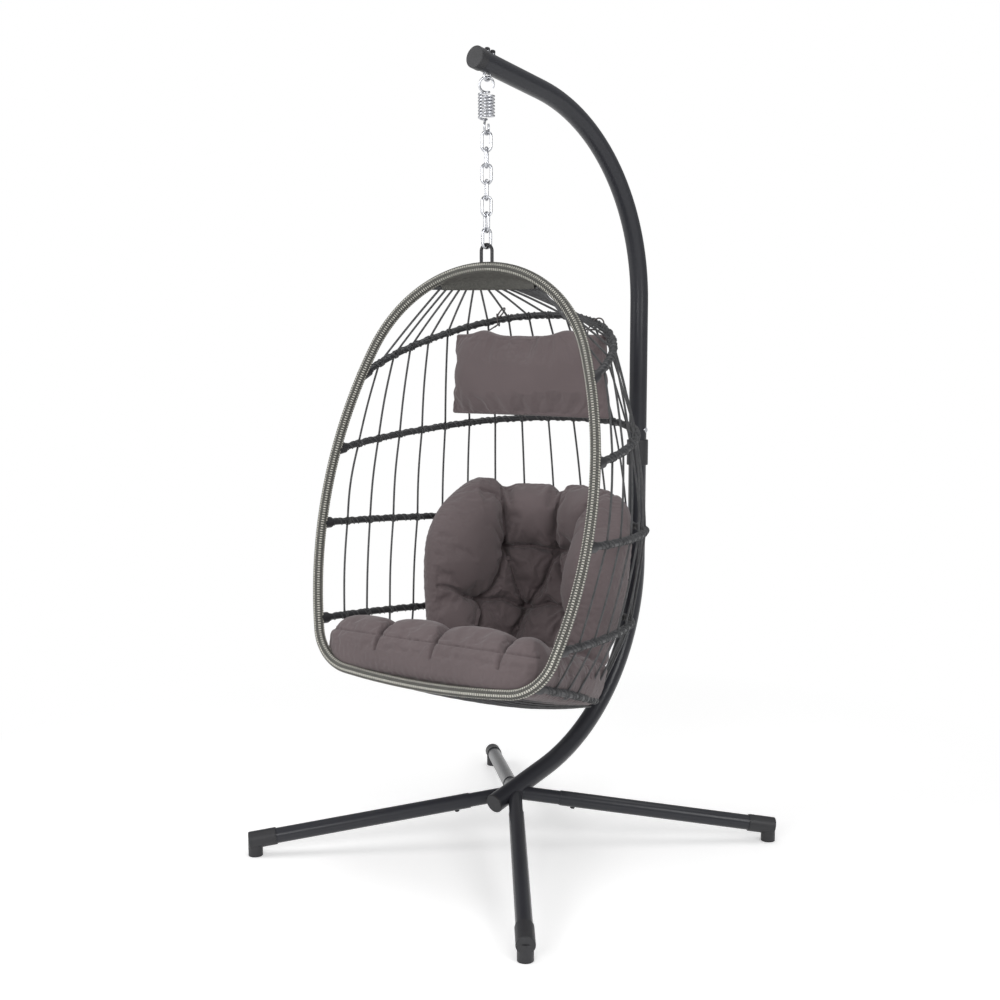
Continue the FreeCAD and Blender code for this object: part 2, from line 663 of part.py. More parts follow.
# Top hoop: a level arc behind the rim's top, with a woven web between it and the rim
low, high = 0.0, rim_length
for _ in range(50):
    middle = (low + high) / 2
    point = point_along(rim_edges, middle)[0]
    if point.x > top_hoop_half_width or point.z < rim_top - top_hoop_half_width:
        low = middle
    else:
        high = middle
hoop_end = point_along(rim_edges, low)[0]
hoop_middle = V(0, hoop_end.y + top_hoop_depth, hoop_end.z)
hoop_arc = Part.Arc(hoop_end, hoop_middle, V(-hoop_end.x, hoop_end.y, hoop_end.z)).toShape()
hoops["top_hoop"] = [hoop_arc]
top_hoop = sweep([hoop_arc], top_hoop_radius).cut(rim_seat)
top_hoop = max(top_hoop.Solids, key=lambda solid: solid.Volume)
web_x = hoop_end.x * web_part
rim_arc_ends = [in_rim_plane(x, rim_height - rim_top_radius + math.sqrt(rim_top_radius ** 2 - x * x))
                for x in (web_x, 0, -web_x)]
rim_arc = Part.Arc(*rim_arc_ends).toShape()
hoop_part = [point_along([hoop_arc], hoop_arc.Length * part)[0]
             for part in ((1 - web_part) / 2, 0.5, (1 + web_part) / 2)]
web_arc = Part.Arc(*hoop_part).toShape()
web_face = Part.makeRuledSurface(rim_arc, web_arc)
top_web = web_face.makeOffsetShape(web_thickness / 2, 0.01, fill=True)
hoop_seat = sweep([hoop_arc], top_hoop_radius + fitting_seat)
top_web = top_web.cut(rim_seat).cut(hoop_seat)
top_web = max(top_web.Solids, key=lambda solid: solid.Volume)

# Ropes: straight spans from hoop to hoop, each end just off the hoop's surface
def span(from_edges, from_radius, from_part, to_edges, to_radius, to_part):
    from_length = sum(edge.Length for edge in from_edges)
    to_length = sum(edge.Length for edge in to_edges)
    start, start_tangent = point_along(from_edges, from_length * from_part)
    finish, finish_tangent = point_along(to_edges, to_length * to_part)
    way = unit(finish - start)

    def set_in(tangent, radius):
        cosine = abs(unit(tangent).dot(way))
        return (radius + rope_gap + rope_radius * cosine) / math.sqrt(1 - cosine ** 2)

    first = start + way * set_in(start_tangent, from_radius)
    last = finish - way * set_in(finish_tangent, to_radius)
    return first, way, (last - first).Length


def rope_rod(line, room=0.0):
    first, way, length = line
    return cylinder(first, way, rope_radius + room, length)


PANELS = (("ropes_top", "top_hoop", top_hoop_radius, 0.1, "rib_1", rib_radius, 0.055),
          ("ropes_upper", "rib_1", rib_radius, 0.055, "rib_2", rib_radius, 0.05),
          ("ropes_middle", "rib_2", rib_radius, 0.05, "rib_3", rib_radius, 0.05),
          ("ropes_lower", "rib_3", rib_radius, 0.05, "rib_4", rib_radius, 0.05),
          ("ropes_base", "rib_4", rib_radius, 0.05, "seat_frame", rib_radius, 0.06))
panels = {}
for name, first, first_radius, first_margin, second, second_radius, second_margin in PANELS:
    ropes = []
    for number in range(rope_count):
        part = number / (rope_count - 1)
        ropes.append(span(hoops[first], first_radius, first_margin + part * (1 - 2 * first_margin),
                          hoops[second], second_radius, second_margin + part * (1 - 2 * second_margin)))
    panels[name] = ropes
# under the seat: from the seat frame to the rim's bottom bar
bar_reach = rim_edges[0].Length + rim_edges[1].Length * under_corner_part
under = []
seat_length = sum(edge.Length for edge in hoops["seat_frame"])


def under_set_in(tangent, way, radius):
    cosine = abs(unit(tangent).dot(way))
    return (radius + under_gap + rope_radius * cosine) / math.sqrt(1 - cosine ** 2)


for number in range(rope_count):
    part = number / (rope_count - 1)
    start_part = under_margin + part * (1 - 2 * under_margin)
    start, start_tangent = point_along(hoops["seat_frame"], seat_length * start_part)
    along = (1 - 2 * part) * bar_reach
    finish, finish_tangent = point_along(rim_edges, abs(along))
    if along < 0:
        finish = V(-finish.x, finish.y, finish.z)
        finish_tangent = V(finish_tangent.x, -finish_tangent.y, -finish_tangent.z)
    way = unit(finish - start)
    first = start + way * under_set_in(start_tangent, way, rib_radius)
    last = finish - way * under_set_in(finish_tangent, way, wrap_radius)
    under.append((first, way, (last - first).Length))
panels["ropes_under"] = under

basket = {"hanging_eye": eye, "rim_tube": rim_tube, "rim_wrap": rim_wrap, "top_hoop": top_hoop,
          "top_web": top_web, **ribs}
for name, shape in basket.items():
    keep(name, turned(shape, basket_turn))
keep("rib_fittings", *[turned(fitting, basket_turn) for fitting in fittings])
keep("rib_bolts", *[turned(bolt, basket_turn) for bolt in rib_bolts])
for name, ropes in panels.items():
    keep(name, *[turned(rope_rod(rope), basket_turn) for rope in ropes])

# Seat cushion: level outlines in a frame that lies along the ropes under the seat
def inset_d(half, front, rear, place):
    """D-shaped outline: straight front with round corners, tapered sides, and two arcs round the rear."""
    near = seat_corner * (1 - math.sqrt(0.5))
    narrow = half - seat_taper
    rear_x = narrow * seat_rear_arc[0]
    rear_d = seat_side_length + (rear - seat_side_length) * seat_rear_arc[1]

    def half_outline(sign):
        def at(x, d):
            return place(sign * x, d)

        corner_arc = Part.Arc(at(half - seat_corner, front), at(half - near, front + near),
                              at(half, front + seat_corner))
        rear_arc = Part.Arc(at(narrow, seat_side_length), at(rear_x, rear_d), at(0, rear))
        front_line = Part.makeLine(at(0, front), at(half - seat_corner, front))
        side_line = Part.makeLine(at(half, front + seat_corner), at(narrow, seat_side_length))
        return [front_line, corner_arc.toShape(), side_line, rear_arc.toShape()]

    return Part.Wire(half_outline(1) + half_outline(-1)[::-1])


bar = in_rim_plane(0, 0)
frame_rear = point_along(hoops["seat_frame"], seat_length / 2)[0]
seat_way = unit(frame_rear - bar)
seat_up = V(0, -seat_way.z, seat_way.y)
sections = []
for height, drawn_in in SEAT_LEVELS:
    def on_seat(x, d):
        return bar + seat_way * d + seat_up * height + V(x, 0, 0)

    sections.append(inset_d(seat_half_width - drawn_in, seat_front + drawn_in, seat_rear - drawn_in, on_seat))
seat_part = Part.makeLoft(sections, True, False)

# Back cushion: crescents round the rear of the basket, one above the other
def crescent(outer, centre_y, thickness, z, reach_degrees):
    reach = math.radians(reach_degrees)
    inner = outer - thickness
    end_radius = thickness / 2

    def at_angle(radius, angle):
        return V(cushion_side + radius * math.sin(angle), centre_y + radius * math.cos(angle), z)

    def cap_arcs(start, end, angle):
        """Round end of the crescent, in two arcs."""
        middle = at_angle(outer - end_radius, angle)
        tip = middle + V(math.cos(angle), -math.sin(angle), 0) * math.copysign(end_radius, angle)
        first = middle + unit(unit(start - middle) + unit(tip - middle)) * end_radius
        second = middle + unit(unit(end - middle) + unit(tip - middle)) * end_radius
        return [Part.Arc(start, first, tip).toShape(), Part.Arc(tip, second, end).toShape()]

    def arc_between(radius, first, last):
        middle = at_angle(radius, (first + last) / 2)
        return Part.Arc(at_angle(radius, first), middle, at_angle(radius, last)).toShape()

    outer_arcs = [arc_between(outer, -reach, 0), arc_between(outer, 0, reach)]
    inner_arcs = [arc_between(inner, reach, 0), arc_between(inner, 0, -reach)]
    return Part.Wire(outer_arcs + cap_arcs(at_angle(outer, reach), at_angle(inner, reach), reach)
                     + inner_arcs + cap_arcs(at_angle(inner, -reach), at_angle(outer, -reach), -reach))


rings = [crescent(outer, -hang_forward + centre, thickness, frame_rear.z + height, reach_degrees)
         for height, outer, centre, thickness, reach_degrees in BACK_LEVELS]
back_part = Part.makeLoft(rings, True, False)


def back_depth(height):
    """Radius of the back's inner face and its centre, at a height over the seat frame's rear."""
    for low, high in zip(BACK_LEVELS[:-1], BACK_LEVELS[1:]):
        if low[0] <= height <= high[0]:
            part = (height - low[0]) / (high[0] - low[0])
            inner = (low[1] - low[3]) * (1 - part) + (high[1] - high[3]) * part
            return inner, low[2] * (1 - part) + high[2] * part


def in_back(bearing_degrees, height, into):
    """Point on the back's inner face, moved into the cushion."""
    inner, centre = back_depth(height)
    bearing = math.radians(bearing_degrees)
    return V(cushion_side + (inner + into) * math.sin(bearing),
             centre - hang_forward + (inner + into) * math.cos(bearing), frame_rear.z + height)


puffs = [Part.makeSphere(radius, in_back(bearing, height, radius - swell))
         for bearing, height, radius, swell in BACK_PUFFS]
back_part = back_part.fuse(puffs)

# Roll along the seat's front, with creases round it
roll_middle = bar + seat_way * roll_ahead + seat_up * roll_height
roll_end = V(roll_half_length, 0, 0)
roll = cylinder(roll_middle - roll_end, V(1, 0, 0), roll_radius, 2 * roll_half_length)
roll = roll.fuse([Part.makeSphere(roll_radius, roll_middle - roll_end),
                  Part.makeSphere(roll_radius, roll_middle + roll_end)])
for x in ROLL_CREASES:
    crease_ring = roll_radius + crease_radius - crease_depth
    roll = roll.cut(Part.makeTorus(crease_ring, crease_radius, roll_middle + V(x, 0, 0), V(1, 0, 0)))

cushion_room = both_sides(sweep(rim_edges, wrap_radius + seat_clearance))
seat_cushion = seat_part.fuse([roll, back_part]).cut(cushion_room)
seat_cushion = max(seat_cushion.Solids, key=lambda solid: solid.Volume)

# the cushion is pressed in where ropes and the lowest rib touch it
seat_cushion = seat_cushion.cut(sweep(hoops["rib_4"], rib_radius + seat_clearance))
for line in panels["ropes_base"] + panels["ropes_under"]:
    seat_cushion = seat_cushion.cut(rope_rod(line, seat_clearance))

# Tufts: round dimples over the seat and up the inside of the back
dimples = [in_back(bearing, height, tuft_depth - tuft_radius) for bearing, height in BACK_TUFTS]
for x in ROLL_CREASES:
    for d in SEAT_TUFT_PLACES:
        dimple_height = SEAT_LEVELS[-1][0] + tuft_radius - tuft_depth
        dimples.append(bar + seat_way * d + seat_up * dimple_height + V(x, 0, 0))
for centre in dimples:
    seat_cushion = seat_cushion.cut(Part.makeSphere(tuft_radius, centre))
seat_cushion = max(seat_cushion.Solids, key=lambda solid: solid.Volume)
keep("seat_cushion", turned(seat_cushion, basket_turn))

# Head pillow: eight shallow arcs round each level, drawn in between the corners
pillow_centre = V(pillow_side, -hang_forward + pillow_set_back, rim_top - pillow_drop)
# levels through its thickness: place as a share of the thickness, size as a share of the whole
PILLOW_LEVELS = ((-0.5, 0.42), (-0.4, 0.76), (-0.2, 0.95), (0.0, 1.0), (0.2, 0.95), (0.4, 0.76), (0.5, 0.42))
pillow_pull = 0.93              # middle of each long side against its corners
pillow_end_pull = 0.97          # the same for its ends
pillow_bulge = 1.035            # corners, beyond the straight line across them
pillow_corner = 0.3             # corner's cut, as a share of half the height
pillow_end_part = 0.45          # how much less its length draws in than its height
outlines = []
for part, size in PILLOW_LEVELS:
    x = pillow_width / 2 * (1 - (1 - size) * pillow_end_part)
    z = pillow_height / 2 * size
    y = part * pillow_thickness
    round_off = pillow_corner * z
    spots = [(x - round_off, z), (x, z - round_off), (x, round_off - z), (x - round_off, -z),
             (round_off - x, -z), (-x, round_off - z), (-x, z - round_off), (round_off - x, z)]
    points = [pillow_centre + V(a, y, b) for a, b in spots]
    edges = []
    for index, (a, b) in enumerate(spots):
        next_a, next_b = spots[(index + 1) % len(spots)]
        middle_a, middle_b = (a + next_a) / 2, (b + next_b) / 2
        # corners bulge out, sides are drawn in
        if index % 4 == 1:
            middle_a *= pillow_end_pull
        elif index % 4 == 3:
            middle_b *= pillow_pull
        else:
            middle_a *= pillow_bulge
            middle_b *= pillow_bulge
        edges.append(Part.Arc(points[index], pillow_centre + V(middle_a, y, middle_b),
                              points[(index + 1) % len(spots)]).toShape())
    outlines.append(Part.Wire(edges))
head_pillow = Part.makeLoft(outlines, True, False)

# Pillow ties: a loop round the first rib and a cord down to the pillow's top
ties = []
tie_radius = tie_wire / 2
tie_margin = PANELS[1][3]
loop_radius = rib_radius + contact_gap + tie_radius
rib_edges = hoops["rib_1"]
rib_length = sum(edge.Length for edge in rib_edges)
for place_number in tie_places:
    part = tie_margin + place_number / (rope_count - 1) * (1 - 2 * tie_margin)
    spot, along = point_along(rib_edges, rib_length * part)
    loop = Part.makeTorus(loop_radius, tie_radius, spot, unit(along))
    top = V(spot.x, pillow_centre.y, pillow_centre.z + pillow_height / 2 - tie_depth)
    way = unit(top - spot)
    way = unit(way - unit(along) * way.dot(unit(along)))
    root = spot + way * loop_radius
    cord_way = unit(top - root)
    cord_length = (top - root).Length
    cord_room = cylinder(root, cord_way, tie_radius + contact_gap, cord_length + contact_gap)
    head_pillow = head_pillow.cut(cord_room)
    ties.append(loop.fuse(cylinder(root, cord_way, tie_cord_wire / 2, cord_length)))
keep("head_pillow", turned(head_pillow, basket_turn))
keep("pillow_ties", *[turned(tie, basket_turn) for tie in ties])

# Everything is moved so that the origin is the middle of the underside of the whole
stand = Part.makeCompound([shape for name, shape in solids.items()
                           if name.startswith(("foot_cap", "pole_collar"))])
stand_box = stand.optimalBoundingBox(False, False)
shift = V(-(stand_box.XMin + stand_box.XMax) / 2, -(stand_box.YMin + stand_box.YMax) / 2, -stand_box.ZMin)
print("moved by, mm:", [round(value, 2) for value in shift])
print("swing pivot, mm:", round(swing_height, 3))
print("first link's top, link pitch, eye's top, mm:",
      round(first_link_top, 3), round(link_pitch, 3), round(eye_top, 3))
for name, shape in solids.items():
    shape.translate(shift)
    shape.exportStep("parts/" + name + ".step")
    print(name, len(shape.Solids), "solids", shape.isValid(), round(shape.Volume / 1000, 1), "cm3")
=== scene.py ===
# %% [markdown]
# A hanging egg chair, dressed for a picture
#
# The chair is a basket of bent tubes and rope. It hangs on a chain and a spring from a curved pole on a
# cross base. The measured solids come in as a frame. This lesson keeps the solids whose shape is already
# right and gives them a finish. It builds the woven, roped and padded parts anew, over the solids they
# stand for.

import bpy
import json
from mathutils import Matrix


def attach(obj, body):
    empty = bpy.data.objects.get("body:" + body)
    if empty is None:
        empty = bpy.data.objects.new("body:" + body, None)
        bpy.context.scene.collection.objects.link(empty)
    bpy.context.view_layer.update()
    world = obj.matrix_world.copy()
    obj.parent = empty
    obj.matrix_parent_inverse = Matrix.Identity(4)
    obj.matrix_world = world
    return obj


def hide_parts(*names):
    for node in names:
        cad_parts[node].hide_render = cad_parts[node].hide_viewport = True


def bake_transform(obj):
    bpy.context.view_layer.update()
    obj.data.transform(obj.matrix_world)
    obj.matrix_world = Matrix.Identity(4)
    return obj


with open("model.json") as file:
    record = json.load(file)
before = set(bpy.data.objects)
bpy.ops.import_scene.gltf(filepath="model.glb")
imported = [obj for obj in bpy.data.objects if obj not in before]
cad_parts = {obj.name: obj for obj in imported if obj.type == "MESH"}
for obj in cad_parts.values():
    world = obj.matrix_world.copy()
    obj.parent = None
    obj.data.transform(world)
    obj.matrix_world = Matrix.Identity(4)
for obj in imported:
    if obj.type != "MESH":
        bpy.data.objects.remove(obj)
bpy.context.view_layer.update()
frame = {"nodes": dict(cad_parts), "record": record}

# %% Tools used throughout
import json
import math
import bmesh
import bpy
import numpy as np
from mathutils import Vector

nodes = frame["nodes"]


def mesh_object(name, vertices, faces, uvs=None):
    """A smooth mesh from lists, with one UV pair for each vertex."""
    mesh = bpy.data.meshes.new(name)
    mesh.from_pydata([tuple(v) for v in vertices], [], [tuple(f) for f in faces])
    if uvs is not None:
        layer = mesh.uv_layers.new(name="UVMap")
        corner = np.empty(len(mesh.loops), dtype=np.int32)
        mesh.loops.foreach_get("vertex_index", corner)
        layer.data.foreach_set("uv", np.asarray(uvs, float)[corner].ravel())
    mesh.polygons.foreach_set("use_smooth", [True] * len(mesh.polygons))
    mesh.update()
    piece = bpy.data.objects.new(name, mesh)
    bpy.context.scene.collection.objects.link(piece)
    return piece


def frames_along(points):
    """Two directions square to a line at each of its points, which turn as little as they can."""
    points = np.asarray(points, float)
    along = np.gradient(points, axis=0)
    along /= np.linalg.norm(along, axis=1)[:, None]
    first = np.cross(along[0], (0.0, 0.0, 1.0))
    if np.linalg.norm(first) < 0.2:
        first = np.cross(along[0], (1.0, 0.0, 0.0))
    side = [first / np.linalg.norm(first)]
    for way in along[1:]:
        new = side[-1] - way * np.dot(side[-1], way)
        side.append(new / np.linalg.norm(new))
    side = np.array(side)
    return side, np.cross(along, side)


def run_along(points):
    """How far each point of a line is from its start, measured along the line."""
    return np.concatenate([[0.0], np.cumsum(np.linalg.norm(np.diff(points, axis=0), axis=1))])


def grid_faces(index):
    """Quads between the neighbours in a grid of vertex numbers."""
    return np.stack([index[:-1, :-1], index[:-1, 1:], index[1:, 1:], index[1:, :-1]], axis=-1).reshape(-1, 4)


def skin_round(points, reach, sides):
    """Vertices, quads and UVs of a skin round a line. U runs round it and V along it, in metres."""
    side, up = frames_along(points)
    turn = np.linspace(0, 2 * math.pi, sides, endpoint=False)
    ring = np.cos(turn)[None, :, None] * side[:, None, :] + np.sin(turn)[None, :, None] * up[:, None, :]
    vertices = (points[:, None, :] + reach * ring).reshape(-1, 3)
    index = np.arange(len(vertices)).reshape(-1, sides)
    uvs = [(s / sides, run) for run in run_along(points) for s in range(sides)]
    return vertices, grid_faces(np.concatenate([index, index[:, :1]], axis=1)), uvs


def rods_object(name, lines, radius, sides):
    """One mesh of many round rods, closed at both ends."""
    vertices, faces, uvs = [], [], []
    for points in lines:
        skin, quads, places = skin_round(np.asarray(points, float), radius, sides)
        ends = [range(sides)[::-1], range(len(skin) - sides, len(skin))]
        faces += [[i + len(vertices) for i in face] for face in (*quads.tolist(), *ends)]
        vertices += list(skin)
        uvs += places
    return mesh_object(name, vertices, faces, uvs)


def vertex_values(piece, what="co"):
    """Places of a piece's vertices, or their normals."""
    values = np.empty(len(piece.data.vertices) * 3)
    piece.data.vertices.foreach_get(what, values)
    return values.reshape(-1, 3)


# %% [markdown]
# Where the basket is
#
# The basket hangs turned a little on its chain, so its own left and right are not the stand's. Building it
# straight and turning every point afterwards is much easier than building it askew.

# %% The basket's own place
HANG = np.array((0.0, -0.105, 0.0))             # hanging axis, before the base is centred
BASE_SHIFT = np.array((0.0, -0.01975, 0.0))     # centres the base on the origin
BASKET_TURN = math.radians(9.0)
RIM_LEAN = math.radians(15.7)
RIM_TOP = 1.449797
RIM_ARCS = ((2.107, 6.2), (0.116, 67.3), (1.073, 37.9))     # radius and turn of each, from the bottom


def in_world(points):
    """Basket points, turned about the hanging axis and moved with the base."""
    p = np.asarray(points, float) - HANG
    c, s = math.cos(BASKET_TURN), math.sin(BASKET_TURN)
    turned = np.stack([p[..., 0] * c - p[..., 1] * s, p[..., 0] * s + p[..., 1] * c, p[..., 2]], axis=-1)
    return turned + HANG + BASE_SHIFT


def in_basket(points):
    """Points of the world in the basket's own straight frame: in_world undone."""
    p = np.asarray(points, float) - HANG - BASE_SHIFT
    c, s = math.cos(BASKET_TURN), math.sin(BASKET_TURN)
    straight = np.stack([p[..., 0] * c + p[..., 1] * s, p[..., 1] * c - p[..., 0] * s, p[..., 2]], axis=-1)
    return straight + HANG


def rim_outline(step=0.002):
    """Half of the rim's outline as (across, up) points, from the middle of the bottom to the top."""
    radii = [r for r, _ in RIM_ARCS]
    ends = np.cumsum([0.0] + [math.radians(a) for _, a in RIM_ARCS])
    across = sum(r * (math.sin(b) - math.sin(a)) for r, a, b in zip(radii, ends[:-1], ends[1:]))
    radii.append(across / math.sin(ends[-1]))
    ends = np.append(ends, math.pi)
    u, v, out = 0.0, 0.0, []
    for r, a, b in zip(radii, ends[:-1], ends[1:]):
        count = max(4, int(r * (b - a) / step))
        for h in np.linspace(a, b, count, endpoint=False):
            out.append((u + r * (math.sin(h) - math.sin(a)), v + r * (math.cos(a) - math.cos(h))))
        u, v = u + r * (math.sin(b) - math.sin(a)), v + r * (math.cos(a) - math.cos(b))
    out.append((0.0, v))
    return np.array(out)


HALF_RIM = rim_outline()
RIM_HEIGHT = HALF_RIM[-1, 1]


def in_rim_plane(outline):
    """Rim outline points as basket points."""
    drop = RIM_HEIGHT - outline[:, 1]
    return np.stack([outline[:, 0], HANG[1] - drop * math.sin(RIM_LEAN),
                     RIM_TOP - drop * math.cos(RIM_LEAN)], axis=1)


SEAT_FRONT = np.array((0.0, -0.379, 0.4927))        # middle of the rim's bottom bar
SEAT_REAR = np.array((0.0, 0.180, 0.348))           # middle of the seat frame's rear
SEAT_SAG = 0.030
SAG_HALF_WIDTH = 0.28
seat_run = np.linalg.norm(SEAT_REAR - SEAT_FRONT)
seat_way = (SEAT_REAR - SEAT_FRONT) / seat_run
seat_up = np.array((0.0, -seat_way[2], seat_way[1]))


def seat_sag(x, d):
    """How far the ropes under the seat give way between the rim and the seat frame."""
    along = np.clip(d / seat_run, 0.0, 1.0)
    return SEAT_SAG * np.clip(1.0 - (x / SAG_HALF_WIDTH) ** 4, 0.0, 1.0) * np.sin(math.pi * along) ** 0.8


print("rim height along its plane:", round(float(RIM_HEIGHT), 4))

# %% [markdown]
# Finishes
#
# Every finish is built from nodes. A base shader is given a colour, and two layers of noise: one slow layer
# that shifts the colour a little, and one fine layer that drives the bump. One helper makes all of them, so
# that a new finish is only a few numbers.

# %% A helper for finishes
ROUGH_SPREAD = 0.08             # how far the roughness strays to either side
BUMP_REACH = 0.001


def connect(tree, node, *inputs, **named):
    """Fills a node's inputs, by number or by name, with plain values or with outputs.

    A node given as a value stands for its first output, and an underscore in a name for a space.
    """
    for key, value in [*enumerate(inputs), *((name.replace("_", " "), named[name]) for name in named)]:
        if isinstance(value, bpy.types.Node):
            value = value.outputs[0]
        if isinstance(value, bpy.types.NodeSocket):
            tree.links.new(value, node.inputs[key])
        else:
            node.inputs[key].default_value = value
    return node


def add_node(tree, kind, *inputs, operation=None, **named):
    """A new node with its inputs filled."""
    made = tree.nodes.new("ShaderNode" + kind)
    if operation:
        made.operation = operation
    return connect(tree, made, *inputs, **named)


def finish(name, colour, roughness, patch, grain, bump, spread=0.10, metallic=0.0, **more):
    """A finish with slow changes of colour, uneven roughness and a fine grain. more fills shader inputs."""
    made = bpy.data.materials.new(name)
    made.use_nodes = True
    tree = made.node_tree
    place = add_node(tree, "TexCoord").outputs["Object"]
    slow = add_node(tree, "TexNoise", Vector=place, Scale=patch, Detail=6.0)
    ramp = add_node(tree, "ValToRGB", Fac=slow)
    for stop, position, change in zip(ramp.color_ramp.elements, (0.3, 0.7), (1 - spread, 1 + spread)):
        stop.position = position
        stop.color = [*[c * change for c in colour], 1.0]
    rough = add_node(tree, "MapRange", Value=slow, To_Min=roughness - ROUGH_SPREAD,
                     To_Max=roughness + ROUGH_SPREAD)
    fine = add_node(tree, "TexNoise", Vector=place, Scale=grain, Detail=3.0)
    bumps = add_node(tree, "Bump", Strength=bump, Distance=BUMP_REACH, Height=fine)
    connect(tree, tree.nodes["Principled BSDF"], Base_Color=ramp, Metallic=metallic, Roughness=rough,
            Normal=bumps, **more)
    return made


def dress(piece, *materials):
    """Gives a piece its finishes, the main one first."""
    piece.data.materials.clear()
    for material in materials:
        piece.data.materials.append(material)


# %% [markdown]
# The stand
#
# The pole and legs are steel tube with a baked powder coat: a dark charcoal, satin, with the faint
# orange-peel skin that powder leaves. The caps, the collar and the feet are black moulded plastic, duller
# than the paint.

# %% Powder coat, plastic and zinc
powder = finish("charcoal_powder_coat", (0.030, 0.031, 0.037), 0.30, spread=0.06, patch=4.0, grain=1400.0,
                bump=0.10, Specular_IOR_Level=0.28, Coat_Weight=0.15, Coat_Roughness=0.22)
plastic = finish("black_moulded_plastic", (0.024, 0.024, 0.027), 0.48, patch=9.0, grain=2200.0, bump=0.14)
zinc = finish("bright_zinc", (0.56, 0.57, 0.60), 0.24, patch=60.0, grain=1800.0, bump=0.05, metallic=1.0)
black_steel = finish("blackened_steel", (0.027, 0.027, 0.030), 0.38, patch=30.0, grain=1500.0, bump=0.10,
                     metallic=0.2)
bare_tube = finish("dark_rib_tube", (0.032, 0.033, 0.036), 0.42, patch=12.0, grain=1500.0, bump=0.12)

FINISH_OF = {"charcoal_steel": powder, "black_plastic": plastic, "zinc_steel": zinc,
             "black_steel": black_steel}
slots = {row["node"]: row["material_slot"] for row in frame["record"]["subparts"]}
for name, piece in nodes.items():
    dress(piece, FINISH_OF.get(slots[name], bare_tube))
for name in ("rib_1", "rib_2", "rib_3", "rib_4", "seat_frame", "top_hoop", "rim_tube"):
    dress(nodes[name], bare_tube)
print("dressed", len(nodes), "nodes")

# %% [markdown]
# Rope lines
#
# The ropes of each panel are separate solids, so their ends can be read from the frame. Points of a mesh
# belong to one solid where an edge or a shared position joins them. The two ends of a rope are the middles
# of the points that lie furthest apart along it.

# %% Read the ropes from the frame
ROPE_PANELS = ("ropes_top", "ropes_upper", "ropes_middle", "ropes_lower", "ropes_base", "ropes_under")
ROPES = 19                      # in each panel
SAME_POINT = 1e-5
END_DEPTH = 1e-4                # points this close to the furthest one belong to an end face


def solids_of(piece):
    """Vertex positions of each separate solid of a piece."""
    spots = vertex_values(piece)
    first_at = {}
    leader = [first_at.setdefault(tuple(spot), number)
              for number, spot in enumerate(np.round(spots / SAME_POINT).astype(int))]

    def root(i):
        while leader[i] != i:
            leader[i] = leader[leader[i]]
            i = leader[i]
        return i

    for edge in piece.data.edges:
        a, b = sorted(root(i) for i in edge.vertices)
        leader[b] = a
    solids = {}
    for number, spot in enumerate(spots):
        solids.setdefault(root(number), []).append(spot)
    return [np.array(solid) for solid in solids.values()]


def rope_ends(name):
    """Start and end of each rope of a panel."""
    lines = []
    for cloud in solids_of(nodes[name]):
        middle = cloud.mean(axis=0)
        way = np.linalg.svd(cloud - middle, full_matrices=False)[2][0]
        reach = (cloud - middle) @ way
        lines.append([cloud[reach > reach.max() - END_DEPTH].mean(axis=0),
                      cloud[reach < reach.min() + END_DEPTH].mean(axis=0)])
    return lines


panels = {name: rope_ends(name) for name in ROPE_PANELS}
for name, lines in panels.items():
    total = sum(np.linalg.norm(end - start) for start, end in lines)
    print(name, "has", len(lines), "ropes,", round(float(total), 2), "m in all")

# %% [markdown]
# The camera
#
# The camera stands where the photograph was taken from, to the chair's right and a little above the seat. A
# camera is placed with given numbers here, since its place was found by laying known points of the frame over
# the picture.

# %% Camera
CAMERA_PLACE = (2.1986, -2.59265, 1.3065)
CAMERA_TURN = math.radians(41.15)
CAMERA_TILT = math.radians(7.103)           # looks down
LENS = 49.65
camera_data = bpy.data.cameras.new("studio_camera")
camera_data.sensor_width = 36.0
camera_data.lens = LENS
camera = bpy.data.objects.new("studio_camera", camera_data)
camera.location = CAMERA_PLACE
camera.rotation_euler = (math.pi / 2 - CAMERA_TILT, 0.0, CAMERA_TURN)
bpy.context.scene.collection.objects.link(camera)
bpy.context.scene.camera = camera
bpy.context.scene.view_settings.view_transform = "Standard"
print("camera lens, mm:", camera_data.lens)

# %% [markdown]
# The light
#
# The light is a plain studio: a large soft lamp on each side, one in front and one above. Big lamps give the
# soft shadows that show the folds of the cushion without hard edges.

# %% Lamps
def soft_lamp(name, place, aim, size, power):
    """A round soft lamp that looks at a point."""
    data = bpy.data.lights.new(name, "AREA")
    data.shape = "DISK"
    data.size = size
    data.energy = power
    lamp = bpy.data.objects.new(name, data)
    lamp.location = place
    lamp.rotation_euler = (Vector(aim) - Vector(place)).to_track_quat("-Z", "Y").to_euler()
    bpy.context.scene.collection.objects.link(lamp)


soft_lamp("left_softbox", (-2.2, -2.6, 2.6), (0.0, 0.0, 0.9), 2.0, 45.0)
soft_lamp("right_softbox", (3.4, -0.6, 2.2), (0.0, 0.0, 0.9), 1.6, 38.0)
soft_lamp("front_softbox", (1.3, -3.6, 1.9), (0.0, 0.0, 0.8), 1.6, 38.0)
soft_lamp("top_softbox", (0.2, 0.4, 4.2), (0.0, 0.0, 0.6), 3.0, 43.0)
print("lamps:", len(bpy.data.lights))

# %% [markdown]
# The backdrop
#
# A white backdrop could come from more light, but that would wash out the dark paint. Here the world glows
# softly on the chair and is plain white only to rays that come from the camera.

# %% Backdrop
WORLD_GLOW = 0.34
PLAIN_WHITE = (1.0, 1.0, 1.0, 1.0)


def any_ray(tree, kinds):
    """One where a ray is of any of the kinds."""
    rays = add_node(tree, "LightPath")
    total = 0.0
    for kind in kinds:
        total = add_node(tree, "Math", total, rays.outputs["Is " + kind + " Ray"], operation="MAXIMUM")
    return total


